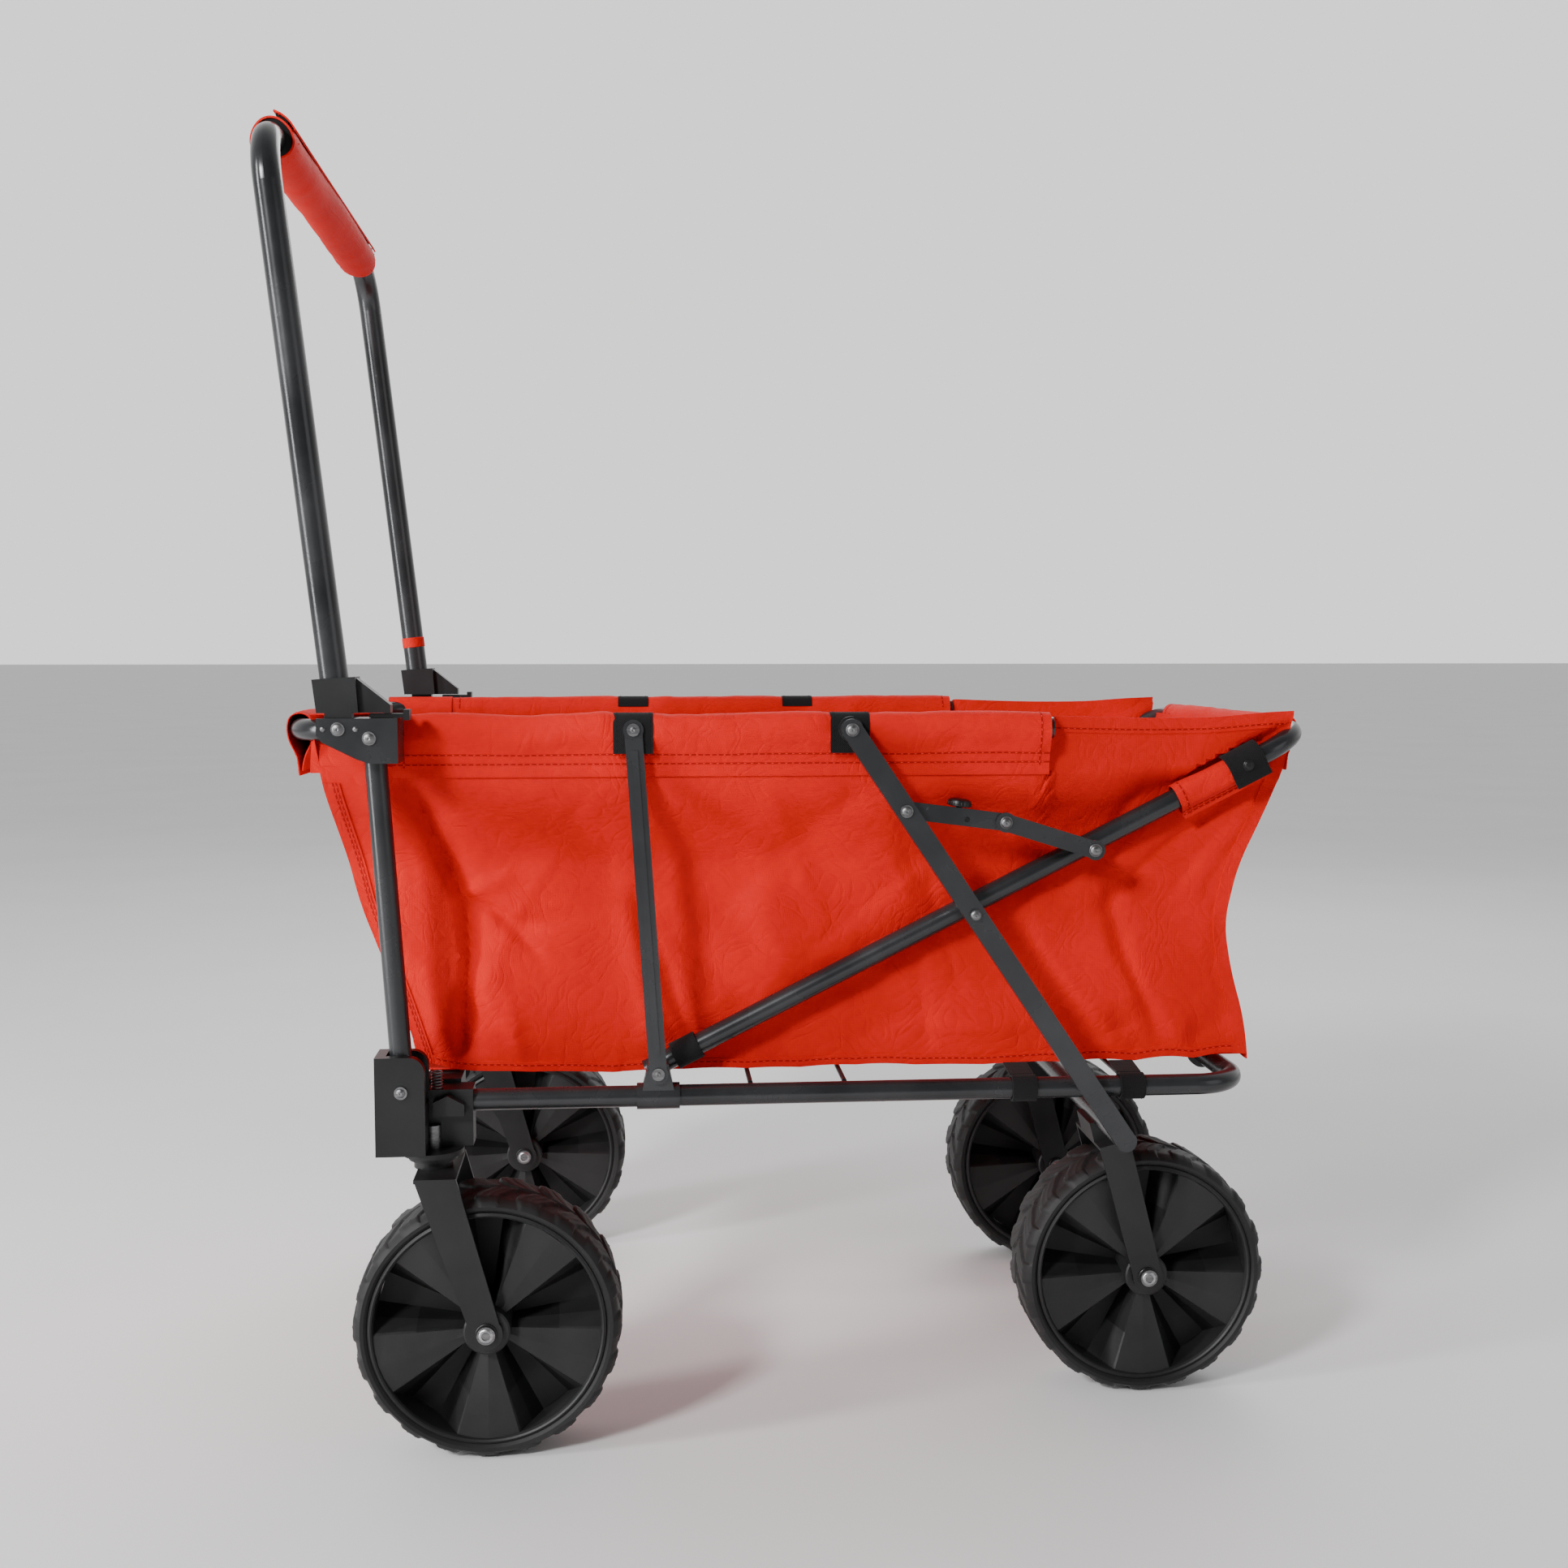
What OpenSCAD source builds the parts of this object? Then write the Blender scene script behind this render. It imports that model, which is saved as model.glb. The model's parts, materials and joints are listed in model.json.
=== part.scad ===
// Folding camp wagon: steel tube frame, fabric basket, two caster wheels in
// front, two fixed wheels behind, and a push and pull handle.
// X runs along the wagon (the handle end is -X), Y across it, Z up.
// The origin is on the ground, under the middle of the bounding box.
// Every side piece is drawn on the +Y side and mirrored for the -Y side.
// The wagon travels toward -X, so its left side is -Y.

/* [Frame] */
// Height of the base rail centre line above the wheel tops
rail_lift = 66; // [60:1:80]
// Distance between the two side rail centre lines
rail_track = 452; // [376:1:560]
// Outer diameter of the frame tubes
tube_d = 17; // [14:0.5:19]
// Wall of every tube
tube_wall = 1.2; // [0.8:0.1:2]
// Length of the base from the post foot to the rear tube centre
base_length = 676; // [640:1:812]
// Distance of the post plane outside the side rail
post_step = 21; // [18:1:24]
// Height of the post foot pivot above the base rail
post_foot_step = 16; // [14:1:20]
// Height of the strut foot pivot above the post foot pivot
strut_foot_step = 4; // [2:0.5:10]
// Distance from the post foot to the strut foot
strut_pitch = 197; // [180:1:240]
// Vertical distance between the foot and top pivots
rise = 272; // [226:1:330]
// Forward lean of the posts and struts between their pivots
post_lean = 18; // [0:1:30]
// Distance from the strut top pivot to the leg top pivot
leg_pitch = 170; // [150:1:200]
// Distance from the post foot forward to the front top tube centre
front_bar_reach = 82; // [70:1:100]
// Distance from the leg top pivot back to the end of the top rail
rail_tail = 164; // [100:1:180]
// Bend radius of the top and base tubes
frame_bend = 40; // [30:1:60]

/* [Legs and rear hoop] */
// Height of the leg foot above the crown of the rear fork
leg_seat = 8; // [6:0.5:12]
// Width of the flat oval leg tube
leg_width = 17; // [14:0.5:20]
// Thickness of the flat oval leg tube
leg_thick = 10; // [8:0.5:12]
// Height of the top rail above the raised end of the rear hoop
hoop_drop = 5.6; // [0:0.1:12]
// Distance from the strut foot pivot to the rear hoop cross tube
hoop_length = 595; // [570:1:640]
// Distance of the rear hoop inside the side rail
hoop_inset = 21; // [20:0.5:27]
// Distance from the hoop foot pivot to the leg crossing
crossing_reach = 280; // [260:1:300]
// Distance from the hoop foot pivot to the stay pivot
stay_reach = 390; // [370:1:420]
// Distance from the leg top pivot to the stay pivot
stay_drop = 77; // [60:1:100]
// Share of the folding stay that its front link takes
stay_share = 0.519; // [0.5:0.001:0.56]
// Length of both stay links together beyond the straight line between their pivots
stay_slack = 0.6; // [0.3:0.1:2]
// Thickness of one stay link
link_thick = 2; // [1.5:0.1:2.1]
// Thickness of the pressed strut
strut_thick = 3; // [2:0.1:3.5]

/* [Wheels] */
// Diameter of the wheels
wheel_d = 208; // [173:1:212]
// Width of the tyres
wheel_w = 66; // [50:1:68]
// Height of the tyre over the rim
tread_height = 12; // [9:0.5:20]
// Diameter of the hub
hub_d = 36; // [28:1:50]
// Diameter of the axle bolts
axle_d = 8; // [6:0.5:12]
// Distance of the caster pivot outside the side rail
caster_step = 12; // [10:1:16]
// Distance from the post foot back to the caster pivot
caster_x = 21; // [15:1:30]
// Trail of the caster wheel behind its pivot
trail = 42.5; // [30:0.5:50]
// Distance of the rear wheel middle inside the side rail
rear_inset = 66; // [60:1:70]
// Distance of the rear axle behind the leg foot
rear_axle_back = 34; // [20:1:45]
// Number of wedge shaped spokes
spoke_count = 5; // [3:1:7]
// Gap between the tyre and each fork arm
fork_gap = 5; // [3:0.5:5]
// Thickness of the fork plate
fork_plate = 3; // [2:0.5:4]

/* [Handle] */
// Length of the handle from its pivot to the grip centre line
handle_length = 448; // [380:1:560]
// Forward lean of the handle when it is upright
handle_lean = 6.4; // [0:0.1:12]
// Distance of the handle arm outside the post
arm_step = 9; // [8:0.5:10]
// Outer diameter of the handle tube
handle_d = 21.5; // [19:0.5:22]
// Bend radius of the handle tube
handle_bend = 43; // [36:1:60]
// Outer diameter of the grip
grip_d = 37; // [30:1:45]
// Distance of each grip end inside the handle arm
grip_inset = 44; // [43:1:80]
// Distance from the post foot forward to the handle pivot
handle_pivot_reach = 41; // [38:1:44]
// Height of the handle pivot above the post top pivot
handle_pivot_step = 7; // [6:0.5:9]

/* [Basket] */
// Distance of the side wall inside the side rail, low down
basket_inset = 32; // [32:1:45]
// Distance of the side wall inside the side rail, at the top
basket_top_inset = 14; // [12:1:30]
// Thickness of the wall solids
cloth = 2; // [1.5:0.1:3]
// Height of the bottom above the base rail centre line
floor_step = 15; // [14:0.5:20]

/* [Fits] */
// Radial clearance of a turning pin in its hole
fit = 0.05; // [0.02:0.01:0.1]
// Gap between faces that slide past each other
gap = 0.3; // [0.3:0.05:0.5]

/* [Hidden] */
$fn = 48;
eps = 0.5;

tube_r = tube_d / 2;
wheel_r = wheel_d / 2;
rail_z = wheel_d + rail_lift;
post_foot_z = rail_z + post_foot_step;
hoop_angle = asin((rise - hoop_drop) / hoop_length);
axle_r = axle_d / 2;
hub_r = hub_d / 2;
rim_r = wheel_r - tread_height;
handle_r = handle_d / 2;
grip_r = grip_d / 2;
rivet_r = 3;
head_r = 5;
head_t = 1.5;
stub_r = 5;

// Distances are measured rearward from the post foot, then shifted so that
// the bounding box is centred: the grip is the foremost piece and the cross
// tube of the rear hoop is the rearmost one.
hoop_end_x = strut_pitch + hoop_length * cos(hoop_angle) + tube_r;
grip_front_x = -handle_pivot_reach - handle_length * sin(handle_lean) - grip_r;
shift_x = -(hoop_end_x + grip_front_x) / 2;

// Pivots as [x, z] in the side plane.
post_foot = [shift_x, post_foot_z];
strut_foot = post_foot + [strut_pitch, strut_foot_step];
lean = [-post_lean, rise];
post_top = post_foot + lean;
strut_top = strut_foot + lean;
leg_top = strut_top + [leg_pitch, 0];
top_z = strut_top[1];
function along(angle, reach) = reach * [cos(angle), sin(angle)];
crossing = strut_foot + along(hoop_angle, crossing_reach);
stay_b = strut_foot + along(hoop_angle, stay_reach);
hoop_end = strut_foot + along(hoop_angle, hoop_length);
leg_slope = atan2(crossing[1] - leg_top[1], crossing[0] - leg_top[0]);
fork_crown_z = wheel_d + 18;
leg_length = (leg_top[1] - fork_crown_z - leg_seat) / sin(-leg_slope);
leg_foot = leg_top + along(leg_slope, leg_length);
stay_a = leg_top + along(leg_slope, stay_drop);
stay_span = norm(stay_b - stay_a);
stay_slope = atan2(stay_b[1] - stay_a[1], stay_b[0] - stay_a[0]);
// The two stay links stand almost straight, with the knee just above.
stay_length = stay_span + stay_slack;
stay_front_len = stay_share * stay_length;
stay_rear_len = stay_length - stay_front_len;
knee_rise = acos((stay_front_len * stay_front_len + stay_span * stay_span
    - stay_rear_len * stay_rear_len) / (2 * stay_front_len * stay_span));
knee = stay_a + along(stay_slope + knee_rise, stay_front_len);
front_bar_x = shift_x - front_bar_reach;
rear_bar_x = shift_x + base_length;
rail_tail_x = leg_top[0] + rail_tail;
handle_pivot = [shift_x - handle_pivot_reach, post_top[1] + handle_pivot_step];
caster = [shift_x + caster_x, wheel_r];
front_axle = caster + [trail, 0];
rear_axle = [leg_foot[0] + rear_axle_back, wheel_r];
// Distance of the lock button from the stay pivot on the leg.
button_reach = 44;

// Planes across the wagon, as distances from the middle.
rail_y = rail_track / 2;
rail_out = rail_y + tube_r;
strut_y = rail_out + 0.5;
leg_y = rail_out + 5.5;
hoop_y = rail_y - hoop_inset;
hoop_out = hoop_y + tube_r;
post_y = rail_y + post_step;
caster_y = rail_y + caster_step;
wheel_y = rail_y - rear_inset;
arm_y = post_y + arm_step;
wall_y = rail_y - basket_inset;
wall_top_y = rail_y - basket_top_inset;
grip_half = arm_y - grip_inset;
fork_in = wheel_w / 2 + fork_gap;

// Bracket at the top front corner.
plate_t = 2;
bracket_in = rail_out + 0.5;
bracket_out = arm_y + 14.6;
bracket_top = handle_pivot[1] + 8;
bracket_front = handle_pivot[0] - 16;
bracket_rear = post_top[0] + 21;
bracket_low = post_top[1] - 19;
tongue_in = post_y + tube_r + 0.8;
tongue_out = bracket_out - plate_t - gap;

// Corner block at the bottom front corner.
block_front = post_foot[0] - 20;
block_step = post_foot[0] + 18;
block_rear = post_foot[0] + 52;
block_low = rail_z - 34;
block_top = post_foot[1] + 27;
block_out = post_y + 17;
block_in = post_y - 16;
block_rail_in = rail_y - 13;
block_arm_in = rail_y - 48;
cross_x = post_foot[0] + 27;

function tilt(from, to) = atan2(to[0] - from[0], to[1] - from[1]);

// ---- helpers -------------------------------------------------------------

// A bar with its axis across the wagon, between two distances from the middle.
module pin(p, y0, y1, r) {
    translate([p[0], y1, p[1]]) rotate([90, 0, 0]) cylinder(h = y1 - y0, r = r);
}

// A flat outline in the side plane, thick from y0 to y1.
module plate(y0, y1) {
    translate([0, y1, 0]) rotate([90, 0, 0]) linear_extrude(y1 - y0) children();
}

module box(x0, x1, y0, y1, z0, z1) {
    translate([x0, y0, z0]) cube([x1 - x0, y1 - y0, z1 - z0]);
}

// A round bar from p along an elevation angle, in the plane y.
module slant(p, angle, len, y, r) {
    translate([p[0], y, p[1]]) rotate([0, 90 - angle, 0]) cylinder(h = len, r = r);
}

module rivet(p, y0, y1) {
    pin(p, y0, y1, rivet_r);
    pin(p, y1, y1 + head_t, head_r);
}

module right_side() {
    children();
}

module left_side() {
    mirror([0, 1, 0]) children();
}

module both_sides() {
    right_side() children();
    left_side() children();
}

// A U shaped tube: two side tubes along X joined by a cross tube at x = 0.
// The sides run toward +X and every bend has its centre at the same radius.
module u_bar(len, half, bend, r) {
    translate([0, half - bend, 0]) rotate([90, 0, 0]) cylinder(h = 2 * (half - bend), r = r);
    both_sides() {
        translate([bend, half, 0]) rotate([0, 90, 0]) cylinder(h = len - bend, r = r);
        translate([bend, half - bend, 0]) rotate([0, 0, 90])
            rotate_extrude(angle = 90) translate([bend, 0]) circle(r = r);
    }
}

module u_tube(len, half, bend, r) {
    difference() {
        u_bar(len, half, bend, r);
        u_bar(len + 1, half, bend, r - tube_wall);
    }
}

// A straight strip with round ends between two pivots, as a side outline.
module strip(a, b, half, end_r) {
    angle = atan2(b[1] - a[1], b[0] - a[0]);
    translate(a) rotate(angle) translate([0, -half]) square([norm(b - a), 2 * half]);
    translate(a) circle(r = end_r);
    translate(b) circle(r = end_r);
}

// ---- base ----------------------------------------------------------------

module base_frame() {
    color("#3c3d40") translate([rear_bar_x, 0, rail_z]) rotate([0, 0, 180])
        u_tube(rear_bar_x - block_rear + 30, rail_y, frame_bend, tube_r);
}

module front_crossbar() {
    half = block_arm_in + 28;
    color("#3c3d40") translate([0, half, 0]) difference() {
        translate([cross_x, 0, rail_z]) rotate([90, 0, 0]) cylinder(h = 2 * half, r = tube_r);
        translate([cross_x, 1, rail_z]) rotate([90, 0, 0])
            cylinder(h = 2 * half + 2, r = tube_r - tube_wall);
    }
}

module corner_block() {
    slot_in = post_y - tube_r - gap;
    slot_out = post_y + tube_r + gap;
    slot_low = post_foot[1] - tube_r - 3.5;
    color("#1c1c1e") difference() {
        union() {
            box(block_front, block_step, block_in, block_out, block_low, block_top - 12);
            box(block_front, block_step - 12, block_in, block_out, block_top - 13, block_top);
            pin([block_step - 12.05, block_top - 12.05], block_in, block_out, 12);
            box(block_step - 1, block_rear, block_rail_in, rail_out + 2, block_low, rail_z + 11);
            box(block_front + 8, block_rear, block_rail_in, block_in + 1, block_low, rail_z + 11);
            box(cross_x - 14, cross_x + 14, block_arm_in, block_rail_in + 1,
                rail_z - 22, rail_z + 14);
        }
        // Slot that the post swings back through.
        box(block_front + 8, block_step + 1, slot_in, slot_out, slot_low, block_top + 1);
        // Sockets for the side rail and the crossbar.
        translate([block_rear - 31, rail_y, rail_z]) rotate([0, 90, 0])
            cylinder(h = 32, r = tube_r + gap);
        translate([cross_x, block_arm_in + 29, rail_z]) rotate([90, 0, 0])
            cylinder(h = 30, r = tube_r + gap);
        // Hole for the post foot pin.
        pin(post_foot, block_in - 1, block_out + 1, rivet_r + fit);
        // Seat for the caster kingpin.
        translate([caster[0], caster_y, block_low - 1]) cylinder(h = 19, r = 6 + fit);
    }
}

// Welded wire grid under the basket, hooked over both cross tubes.
module floor_wires() {
    wire_r = 2;
    hook_out = tube_r + 4;
    wire_z = rail_z + tube_r + wire_r;
    long_y = [39, 117];
    cross_x0 = strut_foot[0] + 74;
    cross_pitch = 76;
    cross_half = rail_y - tube_r + 1;
    color("#2a2a2c") {
        for (y = long_y, s = [-1, 1]) translate([0, s * y, 0]) {
            translate([cross_x, 0, wire_z]) rotate([0, 90, 0])
                cylinder(h = rear_bar_x - cross_x, r = wire_r);
            for (x = [cross_x, rear_bar_x]) difference() {
                pin([x, rail_z], -3, 3, hook_out);
                pin([x, rail_z], -4, 4, tube_r + 0.1);
            }
        }
        for (i = [0, 1, 4]) pin([cross_x0 + i * cross_pitch, wire_z - 3.5],
            -cross_half, cross_half, wire_r);
    }
}

module rail_saddles() {
    band_r = tube_r + 2;
    half = 17;
    x = strut_foot[0];
    ear_top = strut_foot[1] + 7;
    color("#3c3d40") both_sides() difference() {
        union() {
            translate([x - half, rail_y, rail_z]) rotate([0, 90, 0]) cylinder(h = 2 * half, r = band_r);
            plate(rail_y - 6, rail_out) polygon([
                [x - 14, rail_z], [x + 14, rail_z], [x + 8, ear_top], [x - 8, ear_top]
            ]);
        }
        translate([x - half - 1, rail_y, rail_z]) rotate([0, 90, 0])
            cylinder(h = 2 * half + 2, r = tube_r + 0.05);
        pin(strut_foot, rail_y - 8, rail_out + 1, rivet_r + fit);
    }
}

module caster_seats() {
    color("#1c1c1e") both_sides() translate([caster[0], caster_y, 0]) difference() {
        union() {
            translate([0, 0, block_low - 4]) cylinder(h = 4, r = 24);
            translate([0, 0, block_low - 8]) cylinder(h = 4, r = 19);
        }
        translate([0, 0, block_low - 9]) cylinder(h = 10, r = 6 + fit);
    }
}

module caster_kingpins() {
    low = fork_crown_z - 4;
    color("silver") both_sides() translate([caster[0], caster_y, 0]) {
        translate([0, 0, low]) cylinder(h = block_low + 18 - low, r = 6);
        translate([0, 0, low - 4]) cylinder(h = 4, r = 9);
    }
}

module post_foot_pins() {
    color("silver") both_sides() rivet(post_foot, block_in, block_out);
}

module strut_foot_pins() {
    color("silver") both_sides()
        rivet(strut_foot, hoop_y - tube_r + 0.2, strut_y + strut_thick);
}

module latch_springs() {
    wire_r = 0.7;
    coil_r = 4;
    turns = 6;
    color("silver") both_sides()
        for (i = [0 : turns - 1])
            translate([block_step + 6, rail_out - 3, rail_z + 12.2 + i * 2.4])
                rotate_extrude() translate([coil_r, 0]) circle(r = wire_r, $fn = 24);
}

module rail_latch() {
    x0 = block_step + 4;
    y0 = rail_out + 2 + gap;
    color("#161618") plate(y0, y0 + 9) polygon([
        [x0, rail_z - 8], [x0 + 24, rail_z - 8], [x0 + 24, rail_z + 1],
        [x0 + 11, rail_z + 8], [x0, rail_z + 3]
    ]);
}

// ---- posts and struts ----------------------------------------------------

module post() {
    angle = atan2(lean[1], lean[0]);
    tail = 6;
    color("#3c3d40") difference() {
        slant(post_foot - along(angle, tail), angle, norm(lean) + 2 * tail, post_y, tube_r);
        slant(post_foot - along(angle, tail + 1), angle, norm(lean) + 2 * tail + 2, post_y,
            tube_r - tube_wall);
        pin(post_foot, post_y - tube_r - 1, post_y + tube_r + 1, rivet_r + fit);
        pin(post_top, post_y - tube_r - 1, post_y + tube_r + 1, rivet_r + fit);
    }
}

module mid_strut() {
    half = 7;
    rib = 2.5;
    angle = atan2(lean[1], lean[0]);
    color("#3c3d40") difference() {
        union() {
            plate(strut_y, strut_y + strut_thick) strip(strut_foot, strut_top, half, 8);
            plate(strut_y + strut_thick - eps, strut_y + strut_thick + 1)
                translate(strut_foot + along(angle, 16)) rotate(angle)
                translate([0, -rib]) square([norm(lean) - 32, 2 * rib]);
        }
        for (p = [strut_foot, strut_top])
            pin(p, strut_y - 1, strut_y + strut_thick + 2, rivet_r + fit);
    }
}

// ---- top frame -----------------------------------------------------------

module top_rail() {
    color("#3c3d40") difference() {
        translate([front_bar_x, 0, top_z])
            u_tube(rail_tail_x - front_bar_x, rail_y, frame_bend, tube_r);
        for (s = [-1, 1], p = [strut_top, leg_top])
            translate([0, s * rail_y, 0]) pin(p, -tube_r - 1, tube_r + 1, rivet_r + fit);
    }
}

module bracket() {
    outline = [
        [bracket_front, bracket_top], [bracket_rear, bracket_top],
        [bracket_rear, bracket_low], [bracket_rear - 21, bracket_low],
        [bracket_rear - 30, bracket_low + 3], [bracket_front + 4, bracket_low + 16],
        [bracket_front, bracket_low + 21]
    ];
    small_r = 1.6;
    color("#3c3d40") difference() {
        union() {
            plate(bracket_in, bracket_in + plate_t) polygon(outline);
            plate(bracket_out - plate_t, bracket_out) polygon(outline);
            box(post_top[0] - 11.5, bracket_rear, bracket_in, bracket_out,
                bracket_top - plate_t, bracket_top);
            box(bracket_rear - plate_t, bracket_rear, bracket_in, bracket_out,
                bracket_low, bracket_top);
            // Welded lug that joins the bracket to the side rail.
            box(bracket_front + 6, post_top[0] + 10, rail_y, bracket_in + eps,
                top_z - 5, top_z + 5);
        }
        translate([bracket_front, rail_y, top_z]) rotate([0, 90, 0])
            cylinder(h = 60, r = tube_r + 0.02);
        for (p = [post_top, handle_pivot])
            pin(p, bracket_in - 1, bracket_out + 1, rivet_r + fit);
        for (dx = [-11, 13])
            pin(handle_pivot + [dx, 0], bracket_out - plate_t - 1, bracket_out + 1, small_r);
    }
}

module post_top_pins() {
    color("silver") both_sides() rivet(post_top, bracket_in, bracket_out);
}

module handle_pins() {
    color("silver") both_sides() rivet(handle_pivot, bracket_in, bracket_out);
}

module strut_top_pins() {
    color("silver") both_sides()
        rivet(strut_top, rail_y - tube_r, strut_y + strut_thick);
}

module leg_top_pins() {
    color("silver") both_sides() rivet(leg_top, rail_y - tube_r, leg_y + leg_thick);
}

module leg_spacers() {
    color("#161618") both_sides() difference() {
        pin(leg_top, rail_out + 0.1, leg_y - gap, 10);
        pin(leg_top, rail_out - 1, leg_y + 1, rivet_r + fit);
    }
}

// ---- rear hoop and legs --------------------------------------------------

module rear_hoop() {
    color("#3c3d40") difference() {
        translate([hoop_end[0], 0, hoop_end[1]]) rotate([0, 180 - hoop_angle, 0])
            u_tube(hoop_length + 10, hoop_y, frame_bend, tube_r);
        for (s = [-1, 1]) translate([0, s * hoop_y, 0])
            pin(strut_foot, -tube_r - 1, tube_r + 1, rivet_r + fit);
    }
}

// Short stubs that carry the leg crossing and the stay on the hoop. They stop
// short of the leg and the link, which leaves both closing pivots open.
module hoop_bosses() {
    color("#3c3d40") both_sides() difference() {
        union() {
            pin(crossing, hoop_y + 4, leg_y - gap, stub_r);
            pin(stay_b, hoop_y + 4, rail_out, stub_r);
        }
        slant(crossing - along(hoop_angle, 30), hoop_angle, stay_reach - crossing_reach + 60,
            hoop_y, tube_r + 0.02);
    }
}

module leg() {
    end_r = leg_width / 2;
    half = end_r - 0.2;
    inner = half - tube_wall;
    color("#3c3d40") difference() {
        plate(leg_y, leg_y + leg_thick) strip(leg_top, leg_foot, half, end_r);
        plate(leg_y + tube_wall, leg_y + leg_thick - tube_wall)
            strip(leg_top + along(leg_slope, 18), leg_foot - along(leg_slope, 18), inner, inner - 0.2);
        for (p = [leg_top, stay_a])
            pin(p, leg_y - 1, leg_y + leg_thick + 1, rivet_r + fit);
    }
    color("silver") pin(crossing, leg_y + leg_thick - eps, leg_y + leg_thick + head_t, head_r);
}

module rear_axle_tube() {
    color("#3c3d40") difference() {
        pin(leg_foot, -leg_y, leg_y, tube_r);
        pin(leg_foot, -leg_y - 1, leg_y + 1, tube_r - tube_wall);
    }
}

// A fork arm as a side outline: wide at the top, round at the axle.
module arm_outline(axle, top, top_half) {
    end_r = 12.5;
    foot_half = end_r - 0.5;
    polygon([
        [top[0] - top_half, top[1]], [top[0] + top_half, top[1]],
        [axle[0] + foot_half, axle[1]], [axle[0] - foot_half, axle[1]]
    ]);
    translate(axle) circle(r = end_r);
}

module fork_arms(axle, top, top_half) {
    for (side = [-1, 1])
        plate(side * (fork_in + fork_plate / 2) - fork_plate / 2,
              side * (fork_in + fork_plate / 2) + fork_plate / 2)
            arm_outline(axle, top, top_half);
}

module rear_fork() {
    reach = norm(leg_foot - rear_axle);
    angle = tilt(rear_axle, leg_foot);
    crown = wheel_r + 14;
    half = 13;
    color("#232326") translate([rear_axle[0], wheel_y, rear_axle[1]]) rotate([0, angle, 0])
        difference() {
            union() {
                fork_arms([0, 0], [0, crown], half);
                box(-half, half, -fork_in - fork_plate, fork_in + fork_plate,
                    crown - fork_plate, crown);
                box(-half, half, -22, 22, crown - eps, reach);
            }
            pin([0, reach], -24, 24, tube_r + 0.02);
            pin([0, 0], -fork_in - 9, fork_in + 9, axle_r);
        }
}

module axle_bolt(axle, y) {
    end = fork_in + fork_plate;
    head = 7;
    color("silver") translate([0, y, 0]) {
        pin(axle, -end, end, axle_r);
        for (side = [-1, 1])
            pin(axle, side > 0 ? end : -end - 4, side > 0 ? end + 4 : -end, head);
    }
}

module rear_axle_bolts() {
    axle_bolt(rear_axle, wheel_y);
    axle_bolt(rear_axle, -wheel_y);
}

// ---- stays ---------------------------------------------------------------

module stay_front() {
    color("#3c3d40") difference() {
        plate(rail_out + 0.5, rail_out + 0.5 + link_thick) strip(stay_a, knee, 7, 8);
        for (p = [stay_a, knee])
            pin(p, rail_out, rail_out + 4, rivet_r + fit);
    }
    // Folded ledge that carries the lock button.
    spot = stay_a + along(stay_slope, button_reach);
    color("#3c3d40") translate([spot[0], rail_out + 0.5, spot[1]]) rotate([0, -stay_slope, 0])
        box(-10, 10, -10, link_thick, 6, 8.5);
}

module stay_pins() {
    link_out = rail_out + 0.5 + 2 * link_thick + gap;
    color("silver") both_sides() {
        pin(stay_a, rail_out + 0.5, leg_y + leg_thick, rivet_r);
        pin(stay_a, leg_y + leg_thick, leg_y + leg_thick + head_t, head_r);
        pin(knee, rail_out + 0.5, link_out, rivet_r);
        pin(knee, link_out, link_out + 1, head_r);
    }
}

module stay_button() {
    spot = stay_a + along(stay_slope, button_reach);
    cap_r = 9.5;
    color("#161618") translate([spot[0], strut_y + strut_thick + 1 - cap_r, spot[1]])
        rotate([0, -stay_slope, 0]) {
            translate([0, 0, 12.3]) cylinder(h = 4, r = cap_r);
            translate([0, 0, 8.8]) cylinder(h = 3.7, r = 4);
        }
}

module stay_rear() {
    y0 = rail_out + 0.5 + link_thick + gap;
    color("#3c3d40") difference() {
        plate(y0, y0 + link_thick) strip(knee, stay_b, 7, 8);
        pin(knee, y0 - 1, y0 + link_thick + 1, rivet_r + fit);
    }
    color("silver") pin(stay_b, y0 + link_thick - eps, y0 + link_thick + 1, head_r);
}

// ---- wheels --------------------------------------------------------------

module tyre(axle, y) {
    crown = 5;
    half = wheel_w / 2;
    color("#1a1a1c") translate([axle[0], y, axle[1]]) rotate([90, 0, 0]) rotate_extrude($fn = 96)
        polygon([
            [rim_r, -half + 3], [wheel_r - crown, -half], [wheel_r, -half + 12],
            [wheel_r, half - 12], [wheel_r - crown, half], [rim_r, half - 3]
        ]);
}

module rim(axle, y) {
    half = wheel_w / 2 - 4;
    barrel = 4;
    web = 3;
    spoke_half = 20;
    color("#232326") translate([axle[0], y, axle[1]]) rotate([90, 0, 0]) difference() {
        union() {
            difference() {
                cylinder(h = 2 * half, r = rim_r - 0.05, center = true, $fn = 96);
                cylinder(h = 2 * half + 2, r = rim_r - barrel, center = true, $fn = 96);
            }
            cylinder(h = web, r = rim_r - 1, center = true, $fn = 96);
            cylinder(h = 2 * (fork_in - 1), r = hub_r, center = true);
            for (i = [0 : spoke_count - 1])
                rotate(i * 360 / spoke_count - 90) translate([0, 0, -half + 10])
                    linear_extrude(2 * half - 20) polygon([
                        [hub_r - 3, -5], [rim_r - 3, -rim_r * sin(spoke_half)],
                        [rim_r - 3, rim_r * sin(spoke_half)], [hub_r - 3, 5]
                    ]);
        }
        cylinder(h = wheel_w + 20, r = axle_r + fit, center = true);
        difference() {
            cylinder(h = wheel_w + 20, r = rim_r + 20, center = true);
            cylinder(h = wheel_w + 22, r = rim_r - 0.05, center = true, $fn = 96);
        }
    }
}

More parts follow.
